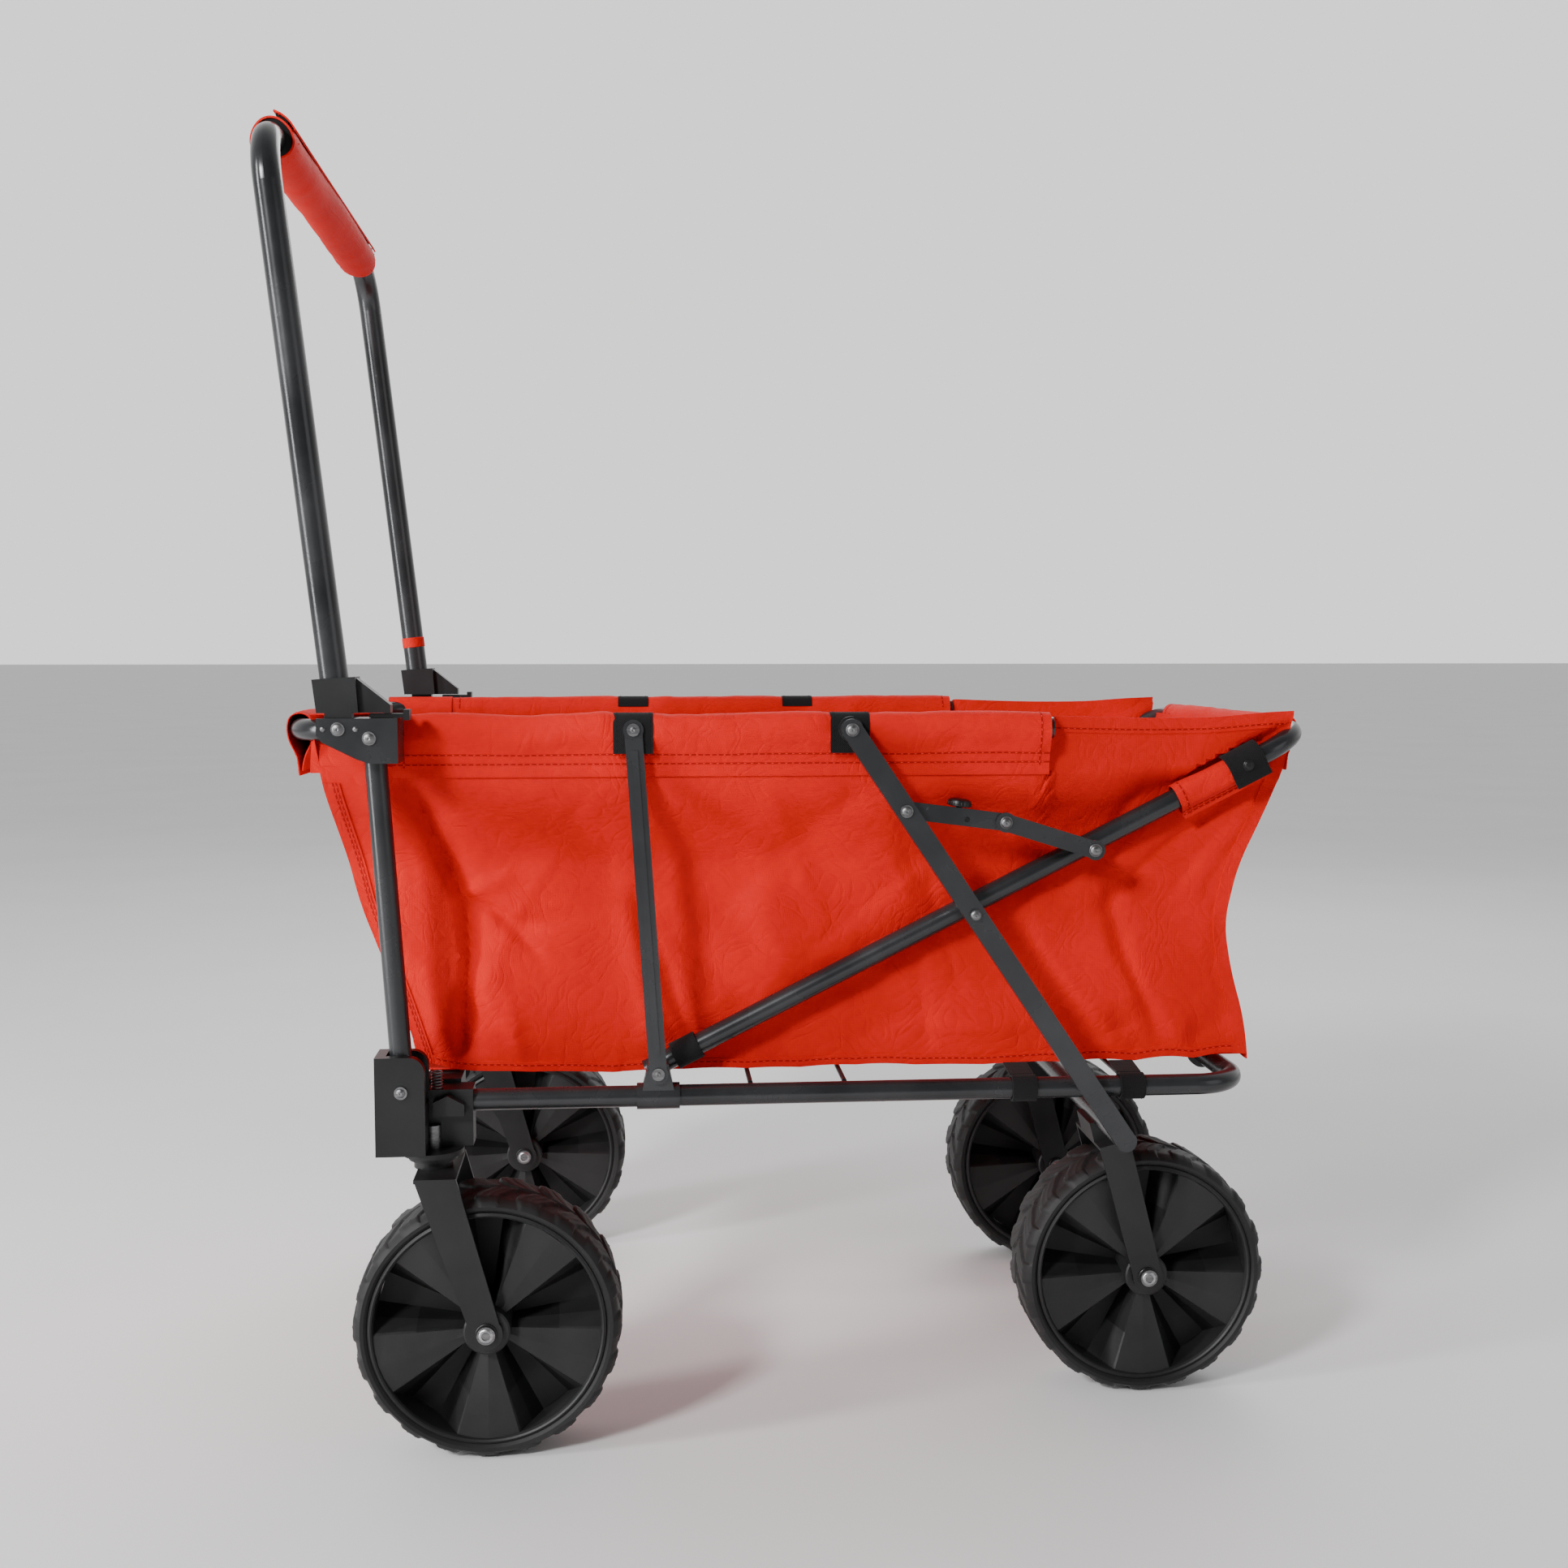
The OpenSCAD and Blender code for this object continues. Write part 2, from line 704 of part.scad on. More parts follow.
module front_fork() {
    top = [caster[0] + 5, fork_crown_z];
    half = 16;
    color("#232326") difference() {
        union() {
            translate([0, caster_y, 0]) fork_arms(front_axle, top, half);
            box(top[0] - half, top[0] + half, caster_y - fork_in - fork_plate,
                caster_y + fork_in + fork_plate, fork_crown_z - fork_plate, fork_crown_z);
            translate([caster[0], caster_y, fork_crown_z - eps])
                cylinder(h = block_low - 8 - gap - fork_crown_z + eps, r = 15);
        }
        translate([caster[0], caster_y, fork_crown_z - 10]) cylinder(h = 40, r = 6 + fit);
        pin(front_axle, caster_y - fork_in - 9, caster_y + fork_in + 9, axle_r);
    }
}

// ---- handle --------------------------------------------------------------

module handle_frame() {
    translate([handle_pivot[0], 0, handle_pivot[1]]) rotate([0, -handle_lean, 0]) children();
}

module handle_tube() {
    start = 14;
    color("#3c3d40") handle_frame() translate([0, 0, handle_length]) rotate([0, 90, 0])
        u_tube(handle_length - start, arm_y, handle_bend, handle_r);
}

module handle_grip() {
    color("#d42a1e") handle_frame() difference() {
        pin([0, handle_length], -grip_half, grip_half, grip_r);
        pin([0, handle_length], -grip_half - 1, grip_half + 1, handle_r + 0.1);
    }
}

module handle_socket() {
    base = bracket_top - handle_pivot[1] + 4;
    wall = 1.8;
    sy0 = arm_y - handle_r - wall;
    sy1 = arm_y + handle_r + 1.5;
    color("#161618") difference() {
        union() {
            translate([handle_pivot[0], 0, handle_pivot[1]]) {
                plate(sy0, sy1) polygon([[-16, base], [15, base], [13, 39], [-19, 37]]);
                plate(arm_y - 7, arm_y + 7) polygon([
                    [10, base], [38, base], [38, 18], [13, 38], [10, 38]
                ]);
                box(-10, 10, tongue_in, tongue_out, 0, base + 2);
            }
            pin(handle_pivot, tongue_in, tongue_out, 10.5);
        }
        handle_frame() translate([0, arm_y, 13]) cylinder(h = 60, r = handle_r + 0.05);
        pin(handle_pivot, tongue_in - 1, tongue_out + 1, rivet_r + fit);
    }
}

module release_lever() {
    z0 = bracket_top + gap;
    x1 = bracket_rear + 4;
    color("#161618") {
        box(handle_pivot[0] + 22, x1, arm_y - 5, arm_y + 5, z0, z0 + 3);
        box(x1 - eps, x1 + 4, arm_y - 7, arm_y + 7, z0 - 2, z0 + 6);
    }
}

// ---- basket --------------------------------------------------------------

// Side outline of the basket, drawn in by d.
module basket_side(d) {
    low = rail_z + floor_step + d;
    polygon([
        [post_foot[0] + 5 + d, low],
        [post_foot[0] - 36 + d, low + 135],
        [front_bar_x + 14 + d, top_z + 4 + 3 * d],
        [hoop_end[0] - 12 - d, top_z + 2 + 3 * d],
        [hoop_end[0] - 17 - d, top_z - 30],
        [rear_bar_x - 10 - d, low + 115],
        [rear_bar_x + 14 - d, low + 25],
        [rear_bar_x + 14 - d, low]
    ]);
}

// Front outline of the basket, drawn in by d.
module basket_front(d) {
    low = rail_z + floor_step + d;
    high = top_z + 40;
    low_half = wall_y - d;
    top_half = wall_top_y - d;
    polygon([
        [-low_half, low], [low_half, low], [low_half, top_z - 90],
        [top_half, top_z - 10], [top_half, high],
        [-top_half, high], [-top_half, top_z - 10], [-low_half, top_z - 90]
    ]);
}

// Plan outline of the basket, with its corners cut clear of the tube bends.
module basket_plan(d) {
    front = front_bar_x + 14 + d;
    rear = hoop_end[0] - 12 - d;
    front_cut = 26;
    rear_cut = 34;
    front_half = wall_top_y - d;
    rear_half = wall_y - d;
    polygon([
        [front, -front_half + front_cut], [front + front_cut, -front_half],
        [rail_tail_x - 20, -front_half], [rail_tail_x, -rear_half],
        [rear - rear_cut, -rear_half], [rear, -rear_half + rear_cut],
        [rear, rear_half - rear_cut], [rear - rear_cut, rear_half],
        [rail_tail_x, rear_half], [rail_tail_x - 20, front_half],
        [front + front_cut, front_half], [front, front_half - front_cut]
    ]);
}

module basket_mass(d) {
    reach = hoop_end[0] - front_bar_x;
    intersection() {
        plate(-rail_track, rail_track) basket_side(d);
        linear_extrude(top_z + 100) basket_plan(d);
        union() {
            plate(-wall_y + d, wall_y - d) translate([front_bar_x, 0])
                square([reach, top_z + 100]);
            translate([front_bar_x, 0, 0]) rotate([90, 0, 90])
                linear_extrude(rail_tail_x - front_bar_x - 20) basket_front(d);
        }
    }
}

module basket() {
    color("#d42a1e") difference() {
        basket_mass(0);
        basket_mass(cloth);
    }
}

// ---- nodes ---------------------------------------------------------------

base_frame();
front_crossbar();
left_side() corner_block();  // corner_block_left
corner_block();  // corner_block_right
floor_wires();
rail_saddles();
caster_seats();
caster_kingpins();
post_foot_pins();
strut_foot_pins();
basket();
left_side() post();  // post_left
post();  // post_right
left_side() mid_strut();  // strut_left
mid_strut();  // strut_right
top_rail();
left_side() bracket();  // bracket_left
bracket();  // bracket_right
post_top_pins();
strut_top_pins();
leg_spacers();
leg_top_pins();
handle_pins();
rear_hoop();
hoop_bosses();
left_side() leg();  // leg_left
leg();  // leg_right
rear_axle_tube();
left_side() rear_fork();  // rear_fork_left
rear_fork();  // rear_fork_right
rear_axle_bolts();
left_side() stay_front();  // stay_front_left
stay_front();  // stay_front_right
stay_pins();
left_side() stay_button();  // stay_button_left
stay_button();  // stay_button_right
left_side() stay_rear();  // stay_rear_left
stay_rear();  // stay_rear_right
tyre(rear_axle, -wheel_y);  // rear_tyre_left
tyre(rear_axle, wheel_y);  // rear_tyre_right
rim(rear_axle, -wheel_y);  // rear_rim_left
rim(rear_axle, wheel_y);  // rear_rim_right
left_side() front_fork();  // front_fork_left
front_fork();  // front_fork_right
axle_bolt(front_axle, -caster_y);  // front_axle_left
axle_bolt(front_axle, caster_y);  // front_axle_right
tyre(front_axle, -caster_y);  // front_tyre_left
tyre(front_axle, caster_y);  // front_tyre_right
rim(front_axle, -caster_y);  // front_rim_left
rim(front_axle, caster_y);  // front_rim_right
handle_tube();
handle_grip();
left_side() handle_socket();  // handle_socket_left
handle_socket();  // handle_socket_right
left_side() release_lever();  // release_lever_left
release_lever();  // release_lever_right
left_side() rail_latch();  // rail_latch_left
rail_latch();  // rail_latch_right
latch_springs();
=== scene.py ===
import json
import math
import random

import bpy
import numpy as np
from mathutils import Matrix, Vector


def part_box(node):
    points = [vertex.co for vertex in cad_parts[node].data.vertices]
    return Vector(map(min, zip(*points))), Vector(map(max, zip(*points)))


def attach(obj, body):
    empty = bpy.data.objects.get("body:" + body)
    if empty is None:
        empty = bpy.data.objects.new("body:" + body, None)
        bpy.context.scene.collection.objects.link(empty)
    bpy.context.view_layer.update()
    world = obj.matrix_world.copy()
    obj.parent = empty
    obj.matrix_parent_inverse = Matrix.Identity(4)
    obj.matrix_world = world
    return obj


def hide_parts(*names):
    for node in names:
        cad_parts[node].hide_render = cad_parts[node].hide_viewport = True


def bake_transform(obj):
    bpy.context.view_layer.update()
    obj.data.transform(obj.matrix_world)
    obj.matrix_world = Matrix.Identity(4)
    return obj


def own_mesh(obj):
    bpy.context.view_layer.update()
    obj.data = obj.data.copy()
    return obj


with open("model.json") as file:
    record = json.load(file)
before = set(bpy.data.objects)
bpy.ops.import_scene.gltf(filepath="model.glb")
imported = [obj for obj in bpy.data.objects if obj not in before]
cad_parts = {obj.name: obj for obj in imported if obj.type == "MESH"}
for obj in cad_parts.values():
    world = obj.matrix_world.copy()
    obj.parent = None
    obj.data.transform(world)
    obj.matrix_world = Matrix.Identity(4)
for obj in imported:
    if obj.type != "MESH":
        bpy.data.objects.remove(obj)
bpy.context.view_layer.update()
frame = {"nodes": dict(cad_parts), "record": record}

MM = 0.001
scene = bpy.context.scene

# ---- places from the frame, in millimetres in the side plane (x, z)
RECORD = frame["record"]
JOINTS = {j["name"]: j for j in RECORD["behaviour"]["joints"]}


def pivot(joint):
    p = JOINTS[joint]["pos_m"]
    return np.array([p[0] * 1000, p[2] * 1000])


def box_mm(node):
    low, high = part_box(node)
    return np.array(low) * 1000, np.array(high) * 1000


def middle_and_half(node):
    low, high = box_mm(node)
    return (low + high) / 2, (high - low) / 2


POST_FOOT, STRUT_FOOT = pivot("fold"), pivot("mid_strut_fold")
POST_TOP, LEG_TOP = pivot("top_level"), pivot("leg_fold")
STAY_A, KNEE, HANDLE = pivot("stay_front_fold"), pivot("stay_rear_fold"), pivot("handle_tilt")
STRUT_TOP = POST_TOP + (STRUT_FOOT - POST_FOOT)
RAIL_LOW, RAIL_HIGH = box_mm("top_rail")
TUBE = (RAIL_HIGH[2] - RAIL_LOW[2]) / 2
RAIL_Y = RAIL_HIGH[1] - TUBE
TOP_Z = RAIL_HIGH[2] - TUBE
FRONT_BAR_X = RAIL_LOW[0] + TUBE
TAIL_X = RAIL_HIGH[0]
HOOP_HIGH = box_mm("rear_hoop")[1]
HOOP_Y = HOOP_HIGH[1] - TUBE
HOOP_END = np.array([HOOP_HIGH[0] - TUBE, HOOP_HIGH[2] - TUBE])
HOOP_DIR = (HOOP_END - STRUT_FOOT) / np.linalg.norm(HOOP_END - STRUT_FOOT)
FLOOR_Z = box_mm("basket")[0][2]
BASE_LOW, BASE_HIGH = box_mm("base_frame")
BASE_Z = (BASE_LOW[2] + BASE_HIGH[2]) / 2

# ---- camera
CAMERA_AT = Vector((-0.1344, -1.6111, 0.6312))
YAW, PITCH = math.radians(4.864), math.radians(4.480)
cam_data = bpy.data.cameras.new("camera")
cam_data.sensor_width = 36
cam_data.lens = 40.5
camera = bpy.data.objects.new("camera", cam_data)
scene.collection.objects.link(camera)
camera.location = CAMERA_AT
look = Vector((math.sin(YAW) * math.cos(PITCH), math.cos(YAW) * math.cos(PITCH),
               -math.sin(PITCH)))
camera.rotation_euler = look.to_track_quat("-Z", "Y").to_euler()
scene.camera = camera


# ---- materials
class Graph:
    """A small helper that builds one procedural material."""

    def __init__(self, name):
        self.mat = bpy.data.materials.new(name)
        self.mat.use_nodes = True
        self.nodes, self.links = self.mat.node_tree.nodes, self.mat.node_tree.links
        self.bsdf = self.nodes["Principled BSDF"]
        self.coord = self.nodes.new("ShaderNodeTexCoord").outputs["Object"]

    def add(self, kind, inputs=(), **props):
        node = self.nodes.new(kind)
        for key, value in props.items():
            setattr(node, key, value)
        for key, value in dict(inputs).items():
            if isinstance(value, bpy.types.NodeSocket):
                self.links.new(value, node.inputs[key])
            else:
                node.inputs[key].default_value = value
        return node

    def noise(self, scale, detail=4.0, rough=0.55, stretch=None):
        vector = self.coord
        if stretch:
            vector = self.add("ShaderNodeMapping", {"Vector": vector, "Scale": stretch}).outputs[0]
        return self.add("ShaderNodeTexNoise", {"Vector": vector, "Scale": scale,
                                               "Detail": detail, "Roughness": rough}).outputs["Fac"]

    def math(self, op, a, b=0.0, clamp=False):
        return self.add("ShaderNodeMath", {0: a, 1: b}, operation=op, use_clamp=clamp).outputs[0]

    def spread(self, value, low, high, start=0.3, stop=0.7):
        return self.add("ShaderNodeMapRange", {"Value": value, "From Min": start, "From Max": stop,
                                               "To Min": low, "To Max": high}).outputs[0]

    def ramp(self, fac, stops):
        node = self.add("ShaderNodeValToRGB", {"Fac": fac})
        ramp = node.color_ramp
        while len(ramp.elements) < len(stops):
            ramp.elements.new(0.5)
        for element, (place, colour) in zip(ramp.elements, stops):
            element.position = place
            element.color = (*colour, 1)
        return node.outputs["Color"]

    def mix(self, a, b, factor):
        node = self.nodes.new("ShaderNodeMixRGB")
        self.links.new(factor, node.inputs[0])
        self.links.new(a, node.inputs[1])
        node.inputs[2].default_value = (*b, 1)
        return node.outputs[0]

    def bump(self, height, distance, strength=1.0, normal=None):
        inputs = {"Height": height, "Distance": distance, "Strength": strength}
        if normal is not None:
            inputs["Normal"] = normal
        return self.add("ShaderNodeBump", inputs).outputs[0]

    def finish(self, colour=None, rough=None, normal=None, **uniform):
        for key, value in (("Base Color", colour), ("Roughness", rough), ("Normal", normal)):
            if value is not None:
                self.links.new(value, self.bsdf.inputs[key])
        for key, value in uniform.items():
            self.bsdf.inputs[key.replace("_", " ")].default_value = value
        return self.mat


def fabric(name, dark, light, period, weave, crumple, sheen, rough):
    """Plain woven cloth: threads both ways, soft creases and uneven dye."""
    g = Graph(name)
    xyz = g.add("ShaderNodeSeparateXYZ", {"Vector": g.coord})
    k = 2 * math.pi / period
    waves = [g.math("SINE", g.math("MULTIPLY", xyz.outputs[i], k)) for i in range(3)]
    warp = g.math("MULTIPLY", waves[0], waves[2])
    weft = g.math("MULTIPLY", waves[1], g.math("ADD", waves[0], waves[2]))
    threads = g.math("ADD", warp, g.math("MULTIPLY", weft, 0.6))
    broad, fine = g.noise(9.0, 5.0), g.noise(340.0, 2.0)
    drift = g.add("ShaderNodeTexNoise", {"Vector": g.coord, "Scale": 11.0}).outputs["Color"]
    bent = g.add("ShaderNodeVectorMath", {0: g.coord, 1: drift}, operation="ADD").outputs[0]
    crease = g.add("ShaderNodeTexVoronoi", {"Vector": bent, "Scale": 13.0},
                   feature="DISTANCE_TO_EDGE").outputs["Distance"]
    soft_crease = g.math("MINIMUM", crease, 0.16)
    mixed = g.math("ADD", g.math("MULTIPLY", broad, 0.75), g.math("MULTIPLY", fine, 0.25))
    colour = g.ramp(mixed, [(0.30, dark), (0.68, light)])
    shine = g.spread(fine, *rough)
    normal = g.bump(threads, weave, 0.5)
    normal = g.bump(g.math("ADD", soft_crease, g.math("MULTIPLY", g.noise(46.0, 6.0), 0.55)),
                    crumple, 0.7, normal)
    return g.finish(colour, shine, normal, Sheen_Weight=sheen, Sheen_Roughness=0.5,
                    Specular_IOR_Level=0.16)


def coated(name, dark, light, rough, peel, wear=0.0, metallic=0.0, peel_scale=420.0):
    """Powder coat or moulded plastic: fine peel, dust in the broad noise, worn spots."""
    g = Graph(name)
    broad, fine = g.noise(14.0, 5.0), g.noise(peel_scale, 2.0)
    colour = g.ramp(broad, [(0.35, dark), (0.7, light)])
    if wear:
        spots = g.math("GREATER_THAN", g.noise(55.0, 6.0, 0.7), 0.72)
        colour = g.mix(colour, (0.16, 0.16, 0.165), g.math("MULTIPLY", spots, wear))
    shine = g.spread(broad, rough - 0.05, rough + 0.07)
    return g.finish(colour, shine, g.bump(fine, peel, 0.6), Metallic=metallic,
                    Specular_IOR_Level=0.62 if metallic > 0.3 else 0.36)


def brushed(name, colour_a, colour_b, rough):
    """Bare metal with fine streaks."""
    g = Graph(name)
    streak = g.noise(60.0, 4.0, 0.6, (1.0, 9.0, 9.0))
    colour = g.ramp(streak, [(0.3, colour_a), (0.75, colour_b)])
    shine = g.spread(streak, rough - 0.1, rough + 0.12, 0.0, 1.0)
    return g.finish(colour, shine, g.bump(streak, 0.00004, 0.5), Metallic=1.0)


RED = fabric("red_fabric", (0.55, 0.0028, 0.0010), (0.76, 0.0060, 0.0028),
             period=0.0013, weave=0.00022, crumple=0.0020, sheen=0.012, rough=(0.62, 0.78))
GRIP_RED = fabric("grip_fabric", (0.52, 0.004, 0.0015), (0.72, 0.009, 0.004),
                  period=0.0010, weave=0.00012, crumple=0.0007, sheen=0.0, rough=(0.60, 0.74))
THREAD = fabric("thread", (0.62, 0.010, 0.006), (0.90, 0.026, 0.016),
                period=0.0005, weave=0.00005, crumple=0.0001, sheen=0.05, rough=(0.5, 0.65))
WEBBING = fabric("webbing", (0.004, 0.004, 0.0045), (0.012, 0.012, 0.013),
                 period=0.0016, weave=0.00035, crumple=0.0004, sheen=0.04, rough=(0.75, 0.9))
# A dark red for the strip under the stitches: painted shade of the groove that the thread pulls
# into the cloth.
SEAM_SHADE = fabric("seam_groove_painted_shade", (0.27, 0.0010, 0.0005), (0.40, 0.0022, 0.0010),
                period=0.0009, weave=0.00008, crumple=0.0003, sheen=0.0, rough=(0.7, 0.85))
TUBE_GREY = coated("frame_tube", (0.024, 0.025, 0.027), (0.042, 0.043, 0.046),
                   0.25, 0.00003, wear=0.25, metallic=0.45)
PLATE_BLACK = coated("dark_steel", (0.010, 0.010, 0.011), (0.018, 0.018, 0.019),
                     0.36, 0.00005, wear=0.3, metallic=0.1)
PLASTIC = coated("black_plastic", (0.006, 0.006, 0.0065), (0.012, 0.012, 0.013),
                 0.40, 0.00007, wear=0.1, peel_scale=900.0)
WHEEL_PLASTIC = coated("wheel_plastic", (0.010, 0.010, 0.0105), (0.019, 0.019, 0.020),
                       0.46, 0.00012, wear=0.12, peel_scale=700.0)
# A darker copy of the wheel plastic: painted shade for the deep web and inner slopes of the wheel's
# recess.
WHEEL_RECESS_SHADE = coated("wheel_recess_painted_shade", (0.0025, 0.0025, 0.0027), (0.006, 0.006, 0.0065),
                    0.55, 0.00012, wear=0.05, peel_scale=700.0)
RUBBER = coated("tyre", (0.006, 0.006, 0.006), (0.014, 0.014, 0.0145),
                0.56, 0.00014, wear=0.2, peel_scale=500.0)
WIRE = coated("wire", (0.010, 0.010, 0.011), (0.020, 0.020, 0.021),
              0.38, 0.00003, wear=0.2, metallic=0.1)
STEEL = brushed("steel", (0.12, 0.12, 0.125), (0.27, 0.27, 0.275), 0.40)
ZINC = brushed("zinc", (0.30, 0.30, 0.31), (0.55, 0.55, 0.56), 0.34)
# An almost black copy of the plastic: painted shade for holes, used in the bolt sockets and the
# hole in each stay link.
SOCKET_SHADE = coated("socket_painted_shade", (0.002, 0.002, 0.002), (0.006, 0.006, 0.006), 0.6, 0.00003)
SLOT_MATERIAL = {"frame_tube": TUBE_GREY, "dark_steel": PLATE_BLACK, "black_plastic": PLASTIC,
                 "wheel_plastic": WHEEL_PLASTIC, "tyre": RUBBER, "wire": WIRE, "steel": STEEL,
                 "red_fabric": RED}


# ---- mesh helpers (millimetres in, metres out)
def make(name, verts, faces, materials, body=None, slots=None, sharp=38):
    """A new piece from points in mm. slots gives each face's material number."""
    mesh = bpy.data.meshes.new(name)
    mesh.from_pydata((np.asarray(verts, float) * MM).tolist(), [], [list(f) for f in faces])
    for material in materials:
        mesh.materials.append(material)
    mesh.polygons.foreach_set("use_smooth", [True] * len(mesh.polygons))
    if slots is not None:
        mesh.polygons.foreach_set("material_index", list(slots))
    mesh.update()
    mesh.set_sharp_from_angle(angle=math.radians(sharp))
    obj = bpy.data.objects.new(name, mesh)
    scene.collection.objects.link(obj)
    if body:
        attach(obj, body)
    return obj


class Parts:
    """Points and faces of one piece, gathered from several shapes."""

    def __init__(self):
        self.verts, self.faces, self.slots = [], [], []

    def add(self, verts, faces, slot=0):
        start = len(self.verts)
        self.verts += [tuple(v) for v in verts]
        self.faces += [[i + start for i in f] for f in faces]
        self.slots += slot if isinstance(slot, list) else [slot] * len(faces)

    def sheet(self, points, thick, slot=0):
        self.add(*sheet_mesh(points, thick), slot)

    def make(self, name, materials, body=None, slot=None, sharp=38):
        return make(name, self.verts, self.faces, materials, body, self.slots, sharp)


def grid(us, vs):
    """Two arrays that hold the places of a grid."""
    return np.meshgrid(us, vs, indexing="ij")


def grid_faces(nu, nv, start, flip=False):
    faces = []
    for i in range(nu - 1):
        for j in range(nv - 1):
            a = start + i * nv + j
            quad = [a, a + nv, a + nv + 1, a + 1]
            faces.append(quad[::-1] if flip else quad)
    return faces


def normals_of(points):
    du = np.gradient(points, axis=0)
    dv = np.gradient(points, axis=1)
    n = np.cross(du, dv)
    return n / np.maximum(np.linalg.norm(n, axis=2, keepdims=True), 1e-9)


def sheet_mesh(points, thick):
    """A closed thin sheet from a grid of points."""
    nu, nv = points.shape[:2]
    n = normals_of(points)
    top = (points + n * thick / 2).reshape(-1, 3)
    low = (points - n * thick / 2).reshape(-1, 3)
    size = nu * nv
    faces = grid_faces(nu, nv, 0) + grid_faces(nu, nv, size, flip=True)
    rim = [(i, 0) for i in range(nu)] + [(nu - 1, j) for j in range(1, nv)]
    rim += [(i, nv - 1) for i in range(nu - 2, -1, -1)] + [(0, j) for j in range(nv - 2, 0, -1)]
    for (a, b), (c, d) in zip(rim, rim[1:] + rim[:1]):
        p, q = a * nv + b, c * nv + d
        faces.append([q, p, p + size, q + size])
    return np.vstack([top, low]), faces


X_AXIS, Z_AXIS = np.array([1.0, 0, 0]), np.array([0, 0, 1.0])


def circle(centre, radius, side, up, sides):
    angles = [2 * math.pi * k / sides for k in range(sides)]
    return [centre + radius * (math.cos(a) * side + math.sin(a) * up) for a in angles]


def round_faces(rings, sides, flip=False):
    """Faces between rings of points, with a cap at each end."""
    faces = []
    for i in range(rings - 1):
        for k in range(sides):
            a, b = i * sides + k, i * sides + (k + 1) % sides
            faces.append([a, a + sides, b + sides, b] if flip else [a, b, b + sides, a + sides])
    caps = [list(range(sides))[::-1], [(rings - 1) * sides + k for k in range(sides)]]
    return faces + ([cap[::-1] for cap in caps] if flip else caps)


def loop_faces(rings, sides):
    """Faces of a ring that closes both ways."""
    faces = []
    for i in range(rings):
        a, b = i * sides, (i + 1) % rings * sides
        for k in range(sides):
            n = (k + 1) % sides
            faces.append([a + k, a + n, b + n, b + k])
    return faces


def tube_mesh(path, radii, sides=14):
    """A round bar along a path, with one radius for each point."""
    path = np.asarray(path, float)
    tangents = np.gradient(path, axis=0)
    tangents /= np.linalg.norm(tangents, axis=1, keepdims=True)
    up = Z_AXIS if abs(tangents[0][2]) < 0.9 else X_AXIS
    verts = []
    for p, t, r in zip(path, tangents, radii):
        side = np.cross(t, up)
        side /= np.linalg.norm(side)
        up = np.cross(side, t)
        verts += circle(p, r, side, up, sides)
    return verts, round_faces(len(path), sides)


def lathe(profile, origin, axis, sides=32):
    """A turned shape: profile is (distance along the axis, radius)."""
    axis = np.asarray(axis, float) / np.linalg.norm(axis)
    ref = Z_AXIS if abs(axis[2]) < 0.9 else X_AXIS
    side = np.cross(axis, ref)
    side /= np.linalg.norm(side)
    up = np.cross(side, axis)
    verts = []
    for d, r in profile:
        verts += circle(np.asarray(origin, float) + axis * d, r, side, up, sides)
    return verts, round_faces(len(profile), sides, flip=True)


def stitches(parts, points, normals, slot, length=3.6, gap=1.8, radius=0.42, lift=0.25,
             groove=None):
    """Short raised threads along a line, over a dark strip that is painted shade of the groove they
    pull into the cloth.
    """
    points, normals = np.asarray(points, float), np.asarray(normals, float)
    steps = np.linalg.norm(np.diff(points, axis=0), axis=1)
    along = np.concatenate([[0], np.cumsum(steps)])
    # The groove strip is a thin dark sheet laid just over the cloth: painted shade, not a real
    # groove.
    if groove is not None:
        tangent = np.gradient(points, axis=0)
        side = np.cross(tangent, normals)
        side /= np.maximum(np.linalg.norm(side, axis=1, keepdims=True), 1e-9)
        base = points + normals * (lift - 0.22)
        strip = np.stack([base + side * k for k in (-0.65, -0.2, 0.2, 0.65)], axis=1)
        parts.sheet(strip, 0.12, groove)
    place = 1.0
    while place + length < along[-1]:
        ends = []
        for s in (place, place + length / 2, place + length):
            p = np.array([np.interp(s, along, points[:, k]) for k in range(3)])
            n = np.array([np.interp(s, along, normals[:, k]) for k in range(3)])
            n /= np.linalg.norm(n)
            ends.append(p + n * (lift if s == place + length / 2 else -0.05))
        verts, faces = tube_mesh(ends, [radius * 0.7, radius, radius * 0.7], 6)
        parts.add(verts, faces, slot)
        place += length + gap


def creases(u, v, seed, count, reach, low, high, size, span):
    """Papery ridges and dents over a sheet whose flat places are u, v in mm.
    span is the whole sheet's size."""
    rng = random.Random(seed)
    out = np.zeros_like(u)
    for _ in range(count):
        cu, cv = rng.uniform(*span[0]), rng.uniform(*span[1])
        angle = rng.uniform(0, math.pi)
        across = (u - cu) * math.sin(angle) - (v - cv) * math.cos(angle)
        along = (u - cu) * math.cos(angle) + (v - cv) * math.sin(angle)
        across = across + 0.0009 * rng.uniform(-1, 1) * along ** 2
        width, length = rng.uniform(low, high), rng.uniform(0.4, 1.0) * reach
        depth = size * rng.choice((-1, 1)) * rng.uniform(0.35, 1.0)
        steep = np.where(across > 0, width, width * rng.uniform(1.4, 2.6))
        out += depth * np.exp(-np.abs(across / steep) ** 1.5) * np.exp(-np.abs(along / length) ** 3)
    return out


